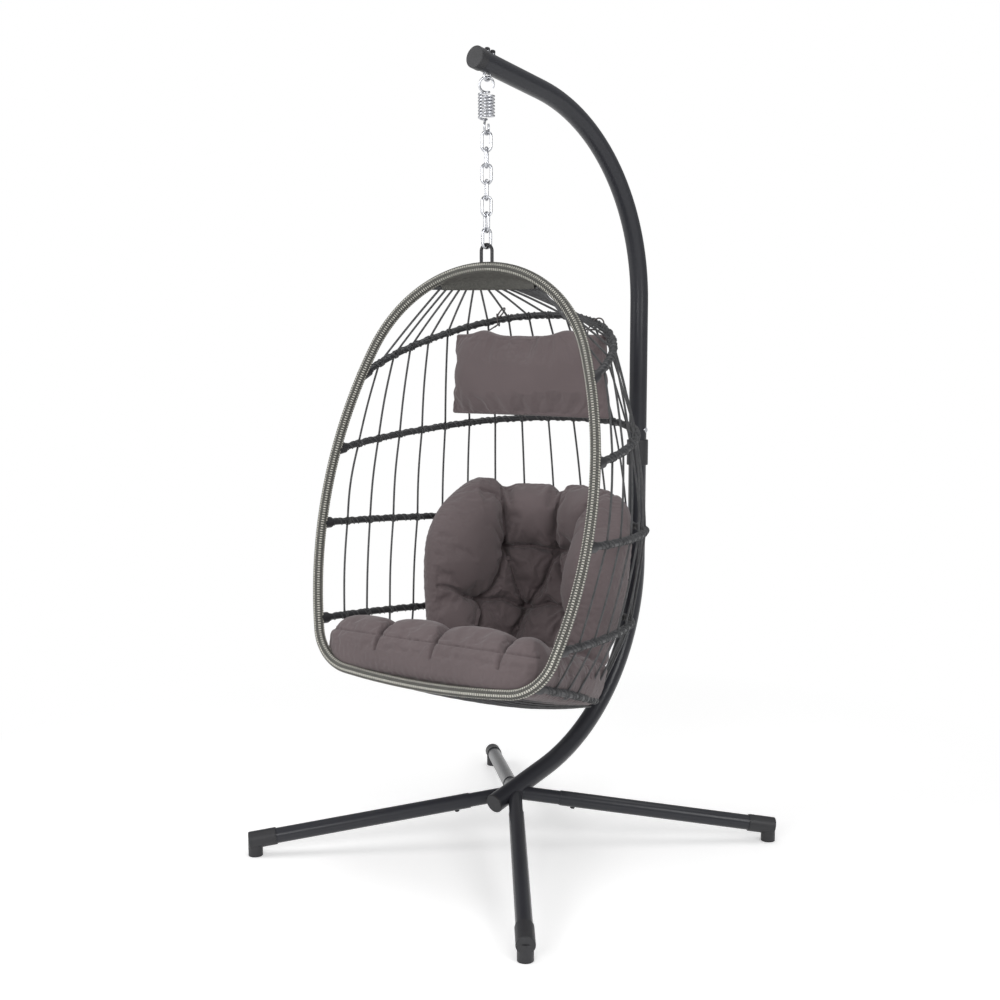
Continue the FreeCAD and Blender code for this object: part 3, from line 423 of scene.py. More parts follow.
world = bpy.data.worlds.new("studio_world")
bpy.context.scene.world = world
world.use_nodes = True
sky = world.node_tree
glow = connect(sky, sky.nodes["Background"], Color=PLAIN_WHITE, Strength=WORLD_GLOW)
white = add_node(sky, "Background", Color=PLAIN_WHITE, Strength=1.0)
backdrop = add_node(sky, "MixShader", any_ray(sky, ("Camera", "Transmission")), glow, white)
connect(sky, sky.nodes["World Output"], Surface=backdrop)
print("world glow on the chair:", WORLD_GLOW)

# %% [markdown]
# The floor
#
# The floor is white paper that keeps the chair's shadow. To the camera it also glows by as much as the lit
# paper lacks to white, and further out it fades into plain white, so no edge of the floor shows.

# %% Floor
FLOOR_HALF = 14.0
FLOOR_LEVEL = -0.0005
PAPER_LIFT = 0.36                   # what the lit paper lacks to white
FADE_FROM, FADE_TO = 0.75, 1.9      # from the middle of the chair
floor = mesh_object("studio_floor", [(x * FLOOR_HALF, y * FLOOR_HALF, FLOOR_LEVEL)
                                     for x, y in ((-1, -1), (1, -1), (1, 1), (-1, 1))], [(0, 1, 2, 3)])
paper = finish("studio_paper", (0.90, 0.90, 0.90), 0.85, spread=0.01, patch=0.6, grain=300.0, bump=0.01,
               Specular_IOR_Level=0.1)
tree = paper.node_tree
seen = any_ray(tree, ("Camera", "Glossy", "Transmission"))
away = add_node(tree, "VectorMath", add_node(tree, "TexCoord").outputs["Object"], operation="LENGTH")
fade = add_node(tree, "MapRange", Value=away.outputs["Value"], From_Min=FADE_FROM, From_Max=FADE_TO)
seen_lift = add_node(tree, "Math", seen, PAPER_LIFT, operation="MULTIPLY")
seen_fade = add_node(tree, "Math", seen, fade, operation="MULTIPLY")
lift = add_node(tree, "Emission", Strength=seen_lift)
lifted = add_node(tree, "AddShader", tree.nodes["Principled BSDF"], lift)
plain_white = add_node(tree, "Emission", Strength=1.0)
floor_look = add_node(tree, "MixShader", seen_fade, lifted, plain_white)
connect(tree, tree.nodes["Material Output"], Surface=floor_look)
dress(floor, paper)
print("floor reaches", FLOOR_HALF, "m each way")

# %% [markdown]
# Woven cover of the rim
#
# The rim is a steel hoop inside a cover of flat plastic wicker. Thin strips are wound round it side by side,
# and a few long strips run along it, going over a few windings and under the next. A tube with thousands of
# rings can carry that weave as real relief: each ring knows which winding it is on, and each point of the
# ring knows which long strip it is near. The crests where a long strip rides over a winding carry a painted
# highlight in a pale wicker colour, and the grooves between windings carry painted shade, near black.

# %% Rim weave
COVER_RADIUS = 0.0117
COVER_SIDES = 54
WINDING = 0.0060                # along the rim, from one wound strip to the next
LONG_STRIPS = 6
STRIP_HALF_WIDTH = 0.22         # as a part of the way from one long strip to the next
STRIP_RELIEF = 0.0009
WOUND_RELIEF = 0.6 * STRIP_RELIEF
# The plain wicker, a painted highlight for the crests of the long strips, and painted shade for the grooves
# between windings.
DARK, PAINTED_HIGHLIGHT, PAINTED_GROOVE_SHADE = 0, 1, 2       # places of the three wicker finishes on a piece


def resampled(points, step):
    """The same line with points a step apart."""
    points = np.asarray(points, float)
    run = run_along(points)
    at = np.linspace(0.0, run[-1], max(2, int(round(run[-1] / step))) + 1)
    return np.stack([np.interp(at, run, points[:, axis]) for axis in range(3)], axis=1)


def woven_tube(name, points):
    """A tube with wound strips and long strips that ride over them, and the finish of each face: plain
    wicker, a painted highlight on the crests, and painted shade in the grooves.
    """
    run = run_along(points)
    strip_turn = np.arange(COVER_SIDES) * LONG_STRIPS / COVER_SIDES
    wound = np.abs(np.sin(math.pi * run / WINDING))[:, None] ** 0.5
    crossing = np.abs(np.sin(math.pi * (run[:, None] / WINDING + 0.5 * (np.floor(strip_turn) % 2))))
    on_strip = np.clip(1.0 - (np.abs(strip_turn % 1.0 - 0.5) / STRIP_HALF_WIDTH) ** 6, 0.0, 1.0)[None, :]
    relief = WOUND_RELIEF * wound * (1 - on_strip) + STRIP_RELIEF * on_strip * crossing
    # Pale faces are a painted highlight on the crests where a long strip rides over a winding; near-black
    # faces are painted shade in the grooves between windings.
    looks = np.where((on_strip > 0.5) & (crossing > 0.70), PAINTED_HIGHLIGHT, np.where(wound < 0.62, PAINTED_GROOVE_SHADE, DARK))
    skin = skin_round(points, (COVER_RADIUS + relief)[:, :, None], COVER_SIDES)
    return mesh_object(name, *skin), looks[:-1].ravel().tolist()


left_rim = HALF_RIM[::-1] * np.array((-1.0, 1.0))
whole_rim = np.concatenate([left_rim[:-1], HALF_RIM])
rim_line = resampled(in_world(in_rim_plane(whole_rim)), WINDING / 5)
rim_cover, rim_looks = woven_tube("rim_woven_cover", rim_line)

weave = {"patch": 240.0, "grain": 2600.0, "bump": 0.25}
# The second finish is a painted highlight, and the third is painted shade for the grooves between windings.
wickers = (finish("grey_wicker", (0.100, 0.098, 0.088), 0.50, spread=0.30, **weave, Specular_IOR_Level=0.35),
           finish("wicker_painted_highlight", (0.560, 0.548, 0.487), 0.42, spread=0.25, **weave),
           finish("wicker_painted_groove_shade", (0.023, 0.023, 0.020), 0.65, spread=0.25, **weave))
dress(rim_cover, *wickers)
rim_cover.data.polygons.foreach_set("material_index", rim_looks)
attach(rim_cover, "basket")
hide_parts("rim_wrap")
print("rim cover faces:", len(rim_looks))

# %% [markdown]
# Ropes
#
# The back of the basket is a fan of ropes, tied down from hoop to hoop. Between two hoops each rope is almost
# straight, with a little slack that bows it out, a different amount for each rope. Under the seat the
# cushion's weight bows them down instead. The twist is a bump that runs slantwise round the rod.

# %% Ropes between the hoops
ROPE_RADIUS = 0.00265
ROPE_TUCK = 0.006               # how far each end reaches in, to its turn round the tube
BOW = {"ropes_top": 0.002, "ropes_upper": 0.004, "ropes_middle": 0.005, "ropes_lower": 0.003,
       "ropes_base": 0.002, "ropes_under": 0.0}
basket_middle = in_world((0.0, 0.02, 0.85))
rope_material = finish("twisted_rope", (0.082, 0.083, 0.086), 0.50, spread=0.30, patch=70.0, grain=3000.0,
                       bump=0.20)
tree = rope_material.node_tree
rope_uv = add_node(tree, "UVMap")
stretch = add_node(tree, "Mapping", Vector=rope_uv, Scale=(3.0, 160.0, 1.0))
strands = add_node(tree, "TexWave", Vector=stretch, Scale=1.0, Distortion=0.4)
strands.wave_type = "BANDS"
strands.bands_direction = "DIAGONAL"
strand_bump = add_node(tree, "Bump", Strength=0.6, Distance=0.0012, Height=strands.outputs["Fac"])
connect(tree, tree.nodes["Principled BSDF"], Normal=strand_bump)


def bowed(line, reach, bow):
    """A rope's line, bowed away from the basket's middle as slack rope is."""
    way = (line[-1] - line[0]) / np.linalg.norm(line[-1] - line[0])
    out = (line[0] + line[-1]) / 2 - basket_middle
    out -= way * np.dot(out, way)
    return line + out / np.linalg.norm(out) * bow * np.sin(math.pi * reach)


def sagging(line):
    """A rope's line under the seat, which gives way under the cushion."""
    place = in_basket(line)
    sag = seat_sag(place[:, 0], (place - SEAT_FRONT) @ seat_way)
    return in_world(place - seat_up * sag[:, None])


rng = np.random.default_rng(7)
part_way = np.linspace(0.0, 1.0, 14)[:, None]
for name, lines in panels.items():
    drawn = []
    for start, end in lines:
        tuck = (end - start) / np.linalg.norm(end - start) * ROPE_TUCK
        bow = BOW[name] * rng.uniform(0.55, 1.25)
        line = start - tuck + (end - start + 2 * tuck) * part_way
        drawn.append(sagging(line) if name == "ropes_under" else bowed(line, part_way, bow))
    piece = rods_object(name + "_rope", drawn, ROPE_RADIUS, 10)
    dress(piece, rope_material)
    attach(piece, "basket")
    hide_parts(name)
print("ropes drawn:", sum(len(lines) for lines in panels.values()))

# %% [markdown]
# Lashings
#
# The hoops of the back are tubes with rope wound round them: at a hoop each rope takes a few tight turns and
# then runs along the tube to the next one. Helices round each hoop's line give both, two long loose ones and
# a short tight one for each knot.

# %% Lashings along the hoops
TUBE_RADIUS = 0.0080
FITTING = 0.030                 # straight end of a rib, inside its fitting
RIB_START = 0.014               # behind the rim's own line
RIB_STEP = 0.004
# for each hoop: its drop below the rim's top, its depth, its slope in degrees and its rear radius
RIBS = {"rib_1": (0.260, 0.392, 22.5, 0.280), "rib_2": (0.441, 0.552, 6.4, 0.300),
        "rib_3": (0.618, 0.660, -3.5, 0.300), "rib_4": (0.842, 0.688, -4.5, 0.270),
        "seat_frame": (0.921, 0.586, -18.0, 0.230)}
LASHING_PITCH = 0.046
KNOT_HOOP = {"ropes_top": "rib_1", "ropes_upper": "rib_2", "ropes_middle": "rib_3", "ropes_lower": "rib_4",
             "ropes_base": "seat_frame"}
KNOT_PITCH = 0.0056
KNOT_REACH = 4                  # millimetres of the tube to either side


def rib_line(drop, depth, rise, rear_radius):
    """Middle line of a back rib: a three-centred arch in a plane that slopes to the rear."""
    rim = in_rim_plane(HALF_RIM)
    order = np.argsort(rim[:, 2])
    half, end_y = [float(np.interp(RIM_TOP - drop, rim[order, 2], rim[order, axis])) for axis in (0, 1)]
    arch = depth - FITTING
    side = (half ** 2 + (arch - rear_radius) ** 2 - rear_radius ** 2) / (2 * (half - rear_radius))
    turn = math.atan2(arch - rear_radius, side - half)
    near = [(half, d) for d in np.arange(RIB_START, FITTING, RIB_STEP)]
    near += [(half - side + side * math.cos(a), FITTING + side * math.sin(a))
             for a in np.arange(0.0, turn, RIB_STEP / side)]
    near += [(rear_radius * math.cos(a), FITTING + arch - rear_radius + rear_radius * math.sin(a))
             for a in np.arange(turn, math.pi / 2, RIB_STEP / rear_radius)]
    near = np.array(near)
    flat = np.concatenate([near, [(0.0, depth)], near[::-1] * np.array((-1.0, 1.0))])
    slope = math.radians(rise)
    return in_world(np.stack([flat[:, 0], end_y + flat[:, 1] * math.cos(slope),
                              RIM_TOP - drop + flat[:, 1] * math.sin(slope)], axis=1))


def wound_round(line, lift, pitch, start, step):
    """A helix round a tube. lift is how far its middle lies off the tube's skin."""
    line = resampled(line, step)
    side, up = frames_along(line)
    angle = start + 2 * math.pi * np.arange(len(line)) * step / pitch
    return line + (TUBE_RADIUS + lift) * (np.cos(angle)[:, None] * side + np.sin(angle)[:, None] * up)


rib_lines = {name: rib_line(*sizes) for name, sizes in RIBS.items()}
lashings, knots = [], []
for name, line in rib_lines.items():
    tube = rods_object(name + "_tube", [line], TUBE_RADIUS, 18)
    dress(tube, bare_tube)
    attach(tube, "basket")
    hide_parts(name)
    lashings += [wound_round(line[4:-4], 0.0002, LASHING_PITCH, start, 0.0022) for start in (0.0, 2.2)]
lashing = rods_object("hoop_lashings", lashings, ROPE_RADIUS * 0.65, 7)
dress(lashing, rope_material)
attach(lashing, "basket")

for name, hoop in KNOT_HOOP.items():
    line = resampled(rib_lines[hoop], 0.001)
    for ends in panels[name]:
        away = min([np.linalg.norm(line - end, axis=1) for end in ends], key=np.min)
        middle = int(np.argmin(away))
        span = line[max(0, middle - KNOT_REACH):middle + KNOT_REACH + 1]
        if len(span) > 4:
            knots.append(wound_round(span, 0.0008, KNOT_PITCH, 0.7, 0.0005))
knot_piece = rods_object("rope_knots", knots, ROPE_RADIUS * 0.75, 7)
dress(knot_piece, rope_material)
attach(knot_piece, "basket")
print("knots:", len(knots))

# %% [markdown]
# Crown web
#
# Behind the top of the rim a short second hoop is joined to it by a woven web: strips wound from the rim
# over the hoop, so close that they make a sheet. A grid stretched between the two lines, with a ridge for
# each winding, gives the same sheet with real relief on both faces. The grooves between windings carry
# painted shade, near black.

# %% Woven crown web
HOOP_HALF = 0.165
HOOP_DEPTH = 0.062
WEB_HALF = 0.134
WEB_SKIN = 0.0105               # from the web's middle to its face, at the hoop
WEB_COLUMNS, WEB_ROWS = 260, 26
COLUMNS_PER_WINDING = 4
RIDGE, CROSS_RIDGE = 0.0009, 0.0004


def crown_lines():
    """The rim's line and the hoop's line over the crown, point for point."""
    rim = HALF_RIM[HALF_RIM[:, 1] > RIM_HEIGHT - 0.3][::-1]
    across = np.linspace(-WEB_HALF, WEB_HALF, WEB_COLUMNS)
    near = in_rim_plane(np.stack([across, np.interp(np.abs(across), rim[:, 0], rim[:, 1])], axis=1))
    _, end_y, end_z = in_rim_plane(np.array([(HOOP_HALF, np.interp(HOOP_HALF, rim[:, 0], rim[:, 1]))]))[0]
    radius = (HOOP_HALF ** 2 + HOOP_DEPTH ** 2) / (2 * HOOP_DEPTH)
    back = end_y + np.sqrt(radius ** 2 - across ** 2) - (radius - HOOP_DEPTH)
    return in_world(near), in_world(np.stack([across, back, np.full(WEB_COLUMNS, end_z)], axis=1))


rim_side, hoop_side = crown_lines()
column, row = np.arange(WEB_COLUMNS), np.arange(WEB_ROWS + 1)
part = row / WEB_ROWS
normal = np.cross(np.gradient(rim_side, axis=0), hoop_side - rim_side)
normal /= np.linalg.norm(normal, axis=1)[:, None]
half_thick = (COVER_RADIUS * (1 - part) + WEB_SKIN * part) * (0.65 + 0.35 * np.cos(math.pi * part) ** 2)
half_thick = half_thick + CROSS_RIDGE * np.abs(np.sin(math.pi * row / 3))
half_thick = half_thick + RIDGE * np.abs(np.sin(math.pi * column / COLUMNS_PER_WINDING))[:, None]
sheet = rim_side[:, None] + (hoop_side - rim_side)[:, None] * part[:, None]
off = normal[:, None] * half_thick[..., None]
web_vertices = np.concatenate([(sheet + off).reshape(-1, 3), (sheet - off).reshape(-1, 3)])
web_uvs = [(i * 0.001, j * 0.001) for _ in range(2) for i in column for j in row]
first = np.arange(WEB_COLUMNS * (WEB_ROWS + 1)).reshape(WEB_COLUMNS, -1)
second = first + first.size
web_faces = grid_faces(np.concatenate([second, first[:, ::-1], second[:, :1]], axis=1))
web = mesh_object("crown_web_weave", web_vertices, web_faces, web_uvs)
dress(web, *wickers)
# Faces in the grooves between windings get painted shade, near black.
in_painted_shade = [(i + (k > WEB_ROWS)) % COLUMNS_PER_WINDING == 0
          for i in column[:-1] for k in range(2 * WEB_ROWS + 2)]
web.data.polygons.foreach_set("material_index", [PAINTED_GROOVE_SHADE if shaded else DARK for shaded in in_painted_shade])
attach(web, "basket")
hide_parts("top_web")
print("crown web faces:", len(web_faces))

# %% [markdown]
# The seat and back cushion
#
# The cushion is one thick, loosely filled pad. Buttons pull it in, and the cloth folds along lines from
# button to button, so it looks like a ring of puffs. A height over a curved sheet gives this well: it is
# nothing on a seam line, and rises as a quarter circle away from it.

# %% Puffs between seams
def bell(distance, width):
    """One at no distance, and falling off smoothly with it."""
    return np.exp(-(distance / width) ** 2)


def puff(distance, width):
    """A quarter circle: nothing at a seam, one from width onwards."""
    near = np.clip(distance / width, 0.0, 1.0)
    return np.sqrt(np.clip(1.0 - (1.0 - near) ** 2, 0.0, 1.0))


def seam_distance(a, b, lines):
    """Distance from points (a, b) to the nearest seam, each weighed by its strength."""
    nearest = np.full(np.broadcast(a, b).shape, 9.0)
    for (x0, y0), (x1, y1), strength in lines:
        dx, dy = x1 - x0, y1 - y0
        reach = np.clip(((a - x0) * dx + (b - y0) * dy) / max(dx * dx + dy * dy, 1e-12), 0.0, 1.0)
        distance = np.hypot(a - (x0 + reach * dx), b - (y0 + reach * dy))
        nearest = np.minimum(nearest, distance / strength)
    return nearest


def pad_object(name, front, back):
    """A closed pad from two grids of points that share their border."""
    rows, columns = front.shape[:2]
    index = np.arange(rows * columns).reshape(rows, columns)
    behind = index.copy()
    behind[1:-1, 1:-1] = rows * columns + np.arange((rows - 2) * (columns - 2)).reshape(rows - 2, columns - 2)
    vertices = np.concatenate([front.reshape(-1, 3), back[1:-1, 1:-1].reshape(-1, 3)])
    return mesh_object(name, vertices, np.concatenate([grid_faces(index), grid_faces(behind.T)]))


print("puff rises to", float(puff(0.5, 1.0)), "half way to its full height")

# %% [markdown]
# The back part
#
# The back part is bent round the basket from wing to wing. Its sheet is laid out by angle and height. Tables
# say how its radius, its depth and its reach change with height, and seams run from button to button. The
# photograph shows three buttons above and four below, and notches in the top edge where seams end.

# %% Back part
CUSHION_SIDE = -0.010
BACK_Z = np.array((0.432, 0.466, 0.526, 0.640, 0.760, 0.852, 0.898))
BACK_RADIUS = np.array((0.207, 0.229, 0.249, 0.268, 0.276, 0.273, 0.262))
BACK_MIDDLE = np.array((0.015, 0.029, 0.051, 0.073, 0.079, 0.079, 0.079))
BACK_CORE = np.array((0.084, 0.092, 0.096, 0.098, 0.096, 0.088, 0.070))
BACK_SWELL = np.array((0.034, 0.036, 0.040, 0.044, 0.044, 0.040, 0.030))
BACK_REACHES = np.radians((98.0, 104.0, 108.0, 109.0, 107.0, 104.0, 104.0))
TOP_REACH = math.radians(50.0)
SHOULDER_Z = 0.66
BACK_LOW, BACK_TOP = 0.425, 0.892
BACK_LENGTH = 0.49                  # from the low edge to the top edge, along the sheet
LEFT_WING = 1.07                    # the left wing stands further forward than the right one
LEFT_RISE = 0.022
RIGHT_FALL = 0.050                  # and the top edge falls away over the right one
NOTCH_DEPTH, NOTCH_WIDTH = 0.026, 4.2
NOTCHES = (-43.0, -5.0, 46.0)       # in degrees round the basket, as all the places below
PUFF_WIDTH = 0.070                  # from a seam to a puff's full height
PULL_DEPTH, PULL_WIDTH = 0.034, 0.018
PLEAT_DEPTH, PLEAT_AWAY, PLEAT_WIDTH = 0.0055, 0.040, 0.024
ARC_RADIUS = 0.20                   # angles count as lengths at this radius when seams are measured
UPPER_BUTTONS = ((-46.7, 0.727), (1.0, 0.720), (47.0, 0.727))
LOWER_BUTTONS = ((-72.0, 0.595), (-24.4, 0.566), (25.0, 0.580), (72.0, 0.595))
TOP_NOTCHES = ((-45.0, 0.96), (-4.0, 0.96), (46.0, 0.96))
FOOT_FOLDS = ((-86.0, 0.40), (-33.0, 0.40), (34.0, 0.40), (86.0, 0.40))


def on_arc(angle, z):
    """A place on the sheet, as lengths."""
    return math.radians(angle) * ARC_RADIUS, z


button_places = [on_arc(*place) for place in UPPER_BUTTONS + LOWER_BUTTONS]
back_seams = []


def seam(first, second, strength, bend):
    """A fold from one place to another. bend bows it sideways, so that it is not a ruled line."""
    start, end = np.array(on_arc(*first)), np.array(on_arc(*second))
    middle = (start + end) / 2 + bend * np.array((start[1] - end[1], end[0] - start[0]))
    back_seams.append((start, middle, strength))
    back_seams.append((middle, end, strength))


for number, (button, top) in enumerate(zip(UPPER_BUTTONS, TOP_NOTCHES)):
    seam(button, top, 1.0, (0.05, -0.04, -0.05)[number])
    seam(button, LOWER_BUTTONS[number], 1.2 if number else 1.0, 0.08)
    seam(button, LOWER_BUTTONS[number + 1], 1.5, -0.04)
for row_of_buttons, strength, bend in ((UPPER_BUTTONS, 1.1, 0.05), (LOWER_BUTTONS, 1.0, 0.08)):
    for first, second in zip(row_of_buttons[:-1], row_of_buttons[1:]):
        seam(first, second, strength, bend)
seam(LOWER_BUTTONS[0], (-126.0, 0.668), 1.9, 0.06)
seam(LOWER_BUTTONS[-1], (118.0, 0.612), 1.0, -0.10)
for button, foot, bend in zip(LOWER_BUTTONS, FOOT_FOLDS, (-0.08, -0.10, 0.10, 0.08)):
    seam(button, foot, 1.0, bend)

s_grid, t_grid = np.meshgrid(np.linspace(-1.0, 1.0, 361), np.linspace(0.0, 1.0, 201))
level = BACK_LOW + (BACK_TOP - BACK_LOW) * t_grid
shoulder = np.clip((level - SHOULDER_Z) / (BACK_TOP - SHOULDER_Z), 0.0, 1.0)
reach = np.interp(level, BACK_Z, BACK_REACHES)
reach = TOP_REACH + (reach - TOP_REACH) * np.sqrt(np.clip(1.0 - shoulder ** 2.4, 0.0, 1.0))
reach = reach * np.where(s_grid < 0, LEFT_WING, 1.0)
back_angle = s_grid * reach
degrees = np.degrees(back_angle)
notch = np.maximum.reduce([bell(degrees - place, NOTCH_WIDTH) for place in NOTCHES])
top_change = LEFT_RISE * bell(degrees + 62.0, 18.0) - NOTCH_DEPTH * notch
right_fall = RIGHT_FALL * np.clip((degrees - 52.0) / 30.0, 0.0, 1.0) ** 1.4
back_z = level + top_change * t_grid ** 8 - right_fall * t_grid ** 3
edge = np.minimum.reduce([(1.0 - np.abs(s_grid)) * reach * ARC_RADIUS, t_grid * BACK_LENGTH,
                          (1.0 - t_grid) * BACK_LENGTH])


def button_distance(a, b):
    """Distance to the nearest button."""
    return np.minimum.reduce([np.hypot(a - x, b - y) for x, y in button_places])


def pleats(a, z):
    """Small folds that run out from each button like rays."""
    rays = np.zeros(np.broadcast(a, z).shape)
    for number, (x, y) in enumerate(button_places):
        ring = bell(np.hypot(a - x, z - y) - PLEAT_AWAY, PLEAT_WIDTH)
        rays += PLEAT_DEPTH * np.cos(9 * np.arctan2(z - y, a - x) + number) * ring
    return rays


def back_profile(a, z):
    """Depth of the back's face in front of its outer face, at an arc length and a height."""
    lines = puff(seam_distance(a, z, back_seams), PUFF_WIDTH)
    pull = PULL_DEPTH * bell(button_distance(a, z), PULL_WIDTH)
    core = np.interp(z, BACK_Z, BACK_CORE) - 0.010
    swell = np.interp(z, BACK_Z, BACK_SWELL) + 0.012
    return core + swell * lines - pull + pleats(a, z)


def bent(radius):
    """The sheet bent round the basket at a radius."""
    middle_y = np.interp(back_z, BACK_Z, BACK_MIDDLE)
    return in_world(np.stack([CUSHION_SIDE + radius * np.sin(back_angle),
                              middle_y + radius * np.cos(back_angle), back_z], axis=2))


half_core = np.interp(back_z, BACK_Z, BACK_CORE) * 0.5
middle_radius = np.interp(back_z, BACK_Z, BACK_RADIUS) - half_core
edge_puff = puff(edge, PUFF_WIDTH)
face_depth = back_profile(back_angle * ARC_RADIUS, back_z) - half_core
back_pad = pad_object("back_pad", bent(middle_radius - face_depth * edge_puff),
                      bent(middle_radius + half_core * edge_puff))
print("back pad points:", len(back_pad.data.vertices))

# %% [markdown]
# The seat part
#
# The seat part lies on the ropes and ends in a roll in front, which three creases part into puffs. Its sheet
# is laid out by the distance behind the rim's bottom bar, and its height counts from the ropes' own plane, so
# the sag of the ropes can be taken off its lower face.

# %% Seat part with its front roll
SEAT_HALF = 0.301
SEAT_SHIFT = -0.007
SEAT_AHEAD = -0.018
SEAT_LENGTH = 0.530
SEAT_NARROWS = ((-0.03, 0.03, 0.33, 0.45, 0.515), (0.96, 1.0, 0.92, 0.80, 0.56))
CORNER_ROUND = 0.035
ROLL_CREASES = (-0.136, 0.020, 0.198)
CREASED_DEPTH, CREASED_WIDTH = 0.018, 0.008
ROLL_BACK = 0.112
ROLL_MIDDLE, ROLL_HALF = 0.047, 0.066
ROLL_RISE = 0.036
SEAT_ROW = 0.300
SEAT_HEIGHT, SEAT_SWELL = 0.094, 0.022
SEAT_MIDDLE = 0.066                 # height at which the upper and lower sheets meet
SEAT_UNDERSIDE = 0.0155
seat_seams = [((-0.40, ROLL_BACK), (0.40, ROLL_BACK), 1.0), ((-0.40, SEAT_ROW), (0.40, SEAT_ROW), 1.2)]
for x in ROLL_CREASES:
    seat_seams.append(((x * 1.02, -0.10), (x, ROLL_BACK), 1.1))
    seat_seams.append(((x, ROLL_BACK), (x * 0.9, SEAT_ROW), 1.2))
    seat_seams.append(((x * 0.9, SEAT_ROW), (x * 0.8, 0.60), 1.2))

s_seat, t_seat = np.meshgrid(np.linspace(-1.0, 1.0, 261), np.linspace(0.0, 1.0, 231))
half_seat = SEAT_HALF * np.interp(SEAT_AHEAD + SEAT_LENGTH * t_seat, *SEAT_NARROWS)
seat_x = s_seat * half_seat + SEAT_SHIFT
seat_d = SEAT_AHEAD + SEAT_LENGTH * t_seat + CORNER_ROUND * np.abs(s_seat) ** 6 * (1.0 - t_seat) ** 6
seat_edge = np.minimum.reduce([(1.0 - np.abs(s_seat)) * half_seat, t_seat * SEAT_LENGTH,
                               (1.0 - t_seat) * SEAT_LENGTH])


def seat_profile(x, d):
    """Height of the seat's top face over the ropes' plane."""
    lines = puff(seam_distance(x, d, seat_seams), 0.046)
    behind = np.clip(d - ROLL_MIDDLE, 0.0, 1.0) / ROLL_HALF
    roll = np.sqrt(np.clip(1.0 - behind ** 2, 0.0, 1.0))
    roll = roll * (1.0 - 0.45 * np.clip((-0.10 - x) / 0.20, 0.0, 1.0))
    crease = np.maximum.reduce([bell(x - place, CREASED_WIDTH) for place in ROLL_CREASES])
    crease = crease * bell(d - 0.02, 0.06)
    rise = (SEAT_SWELL - 0.008 * roll) * lines + ROLL_RISE * roll * (0.86 + 0.14 * lines)
    return SEAT_HEIGHT + rise - CREASED_DEPTH * crease


def on_seat(height):
    """The seat's sheet at a height over the ropes' plane."""
    points = SEAT_FRONT + seat_way * seat_d[..., None] + seat_up * height[..., None]
    points[..., 0] += seat_x
    return in_world(points)


above = (seat_profile(seat_x, seat_d) - SEAT_MIDDLE) * puff(seat_edge, 0.060)
under = (SEAT_UNDERSIDE - seat_sag(seat_x, seat_d) - SEAT_MIDDLE) * puff(seat_edge, 0.034)
seat_pad = pad_object("seat_pad", on_seat(SEAT_MIDDLE + above), on_seat(SEAT_MIDDLE + under))
print("seat pad points:", len(seat_pad.data.vertices))

# %% [markdown]
# The cloth's own folds
#
# Real cloth is cut a little larger than the filling, so it gathers round each button. The two pads are
# made one skin, and a short cloth simulation blows that skin up a little while its seams and buttons are
# held. The movement is capped, so the pad stays in its place.

# %% Cloth simulation for padded pieces
CLOTH = {"quality": 4, "mass": 0.15, "air_damping": 1.5, "tension_stiffness": 12.0, "use_pressure": True,
         "compression_stiffness": 12.0, "shear_stiffness": 4.0, "bending_stiffness": 0.35,
         "pin_stiffness": 2.0}
CLOTH_FRAMES = 14


def move_vertices(piece, points):
    """Puts a piece's vertices at new places."""
    piece.data.vertices.foreach_set("co", points.ravel())
    piece.data.update()


def simulated(piece, hold, cap, pressure=3.0, spare=0.07):
    """Blows up a closed skin while held points stay. hold has one value for each point, cap one or many."""
    rest = vertex_values(piece)
    group = piece.vertex_groups.new(name="held")
    for number, value in enumerate(hold):
        if value > 0.02:
            group.add([number], float(min(value, 1.0)), "REPLACE")
    cloth = piece.modifiers.new("cloth", "CLOTH")
    for setting, value in CLOTH.items():
        setattr(cloth.settings, setting, value)
    cloth.settings.uniform_pressure_force = pressure
    cloth.settings.shrink_min = cloth.settings.shrink_max = -spare
    cloth.settings.vertex_group_mass = group.name
    cloth.settings.effector_weights.gravity = 0.0
    cloth.collision_settings.use_collision = False
    cloth.collision_settings.use_self_collision = False
    cloth.point_cache.frame_start = 1
    cloth.point_cache.frame_end = CLOTH_FRAMES
    scene = bpy.context.scene
    for frame_number in range(1, CLOTH_FRAMES + 1):
        scene.frame_set(frame_number)
    way = vertex_values(piece.evaluated_get(bpy.context.evaluated_depsgraph_get())) - rest
    piece.modifiers.clear()
    piece.vertex_groups.clear()
    scene.frame_set(1)
    length = np.linalg.norm(way, axis=1)
    scale = np.minimum(1.0, cap / np.maximum(length, 1e-9))
    print(piece.name, "moved, mm: middle", round(float(np.median(length)) * 1000, 1),
          "most", round(float(length.max()) * 1000, 1))
    move_vertices(piece, rest + way * scale[:, None])


def apply_modifiers(piece):
    """Puts the smooth result of a piece's modifiers in place of its mesh."""
    applied = bpy.data.meshes.new_from_object(piece.evaluated_get(bpy.context.evaluated_depsgraph_get()))
    piece.modifiers.clear()
    piece.data = applied
    applied.polygons.foreach_set("use_smooth", [True] * len(applied.polygons))


def sewn(name, parts, voxel, rounds):
    """Joins closed pads into one skin of even squares."""
    joined = bmesh.new()
    for part in parts:
        joined.from_mesh(part.data)
        bpy.data.objects.remove(part)
    piece = mesh_object(name, [], [])
    joined.to_mesh(piece.data)
    joined.free()
    remesh = piece.modifiers.new("one_skin", "REMESH")
    remesh.mode = "VOXEL"
    remesh.voxel_size = voxel
    soften = piece.modifiers.new("soften", "SMOOTH")
    soften.factor = 0.5
    soften.iterations = rounds
    apply_modifiers(piece)
    return piece


def subdivided(piece):
    """Gives a piece four squares for each one."""
    fine = piece.modifiers.new("fine", "SUBSURF")
    fine.levels = 1
    fine.render_levels = 1
    apply_modifiers(piece)


print("cloth runs for", CLOTH_FRAMES, "frames")

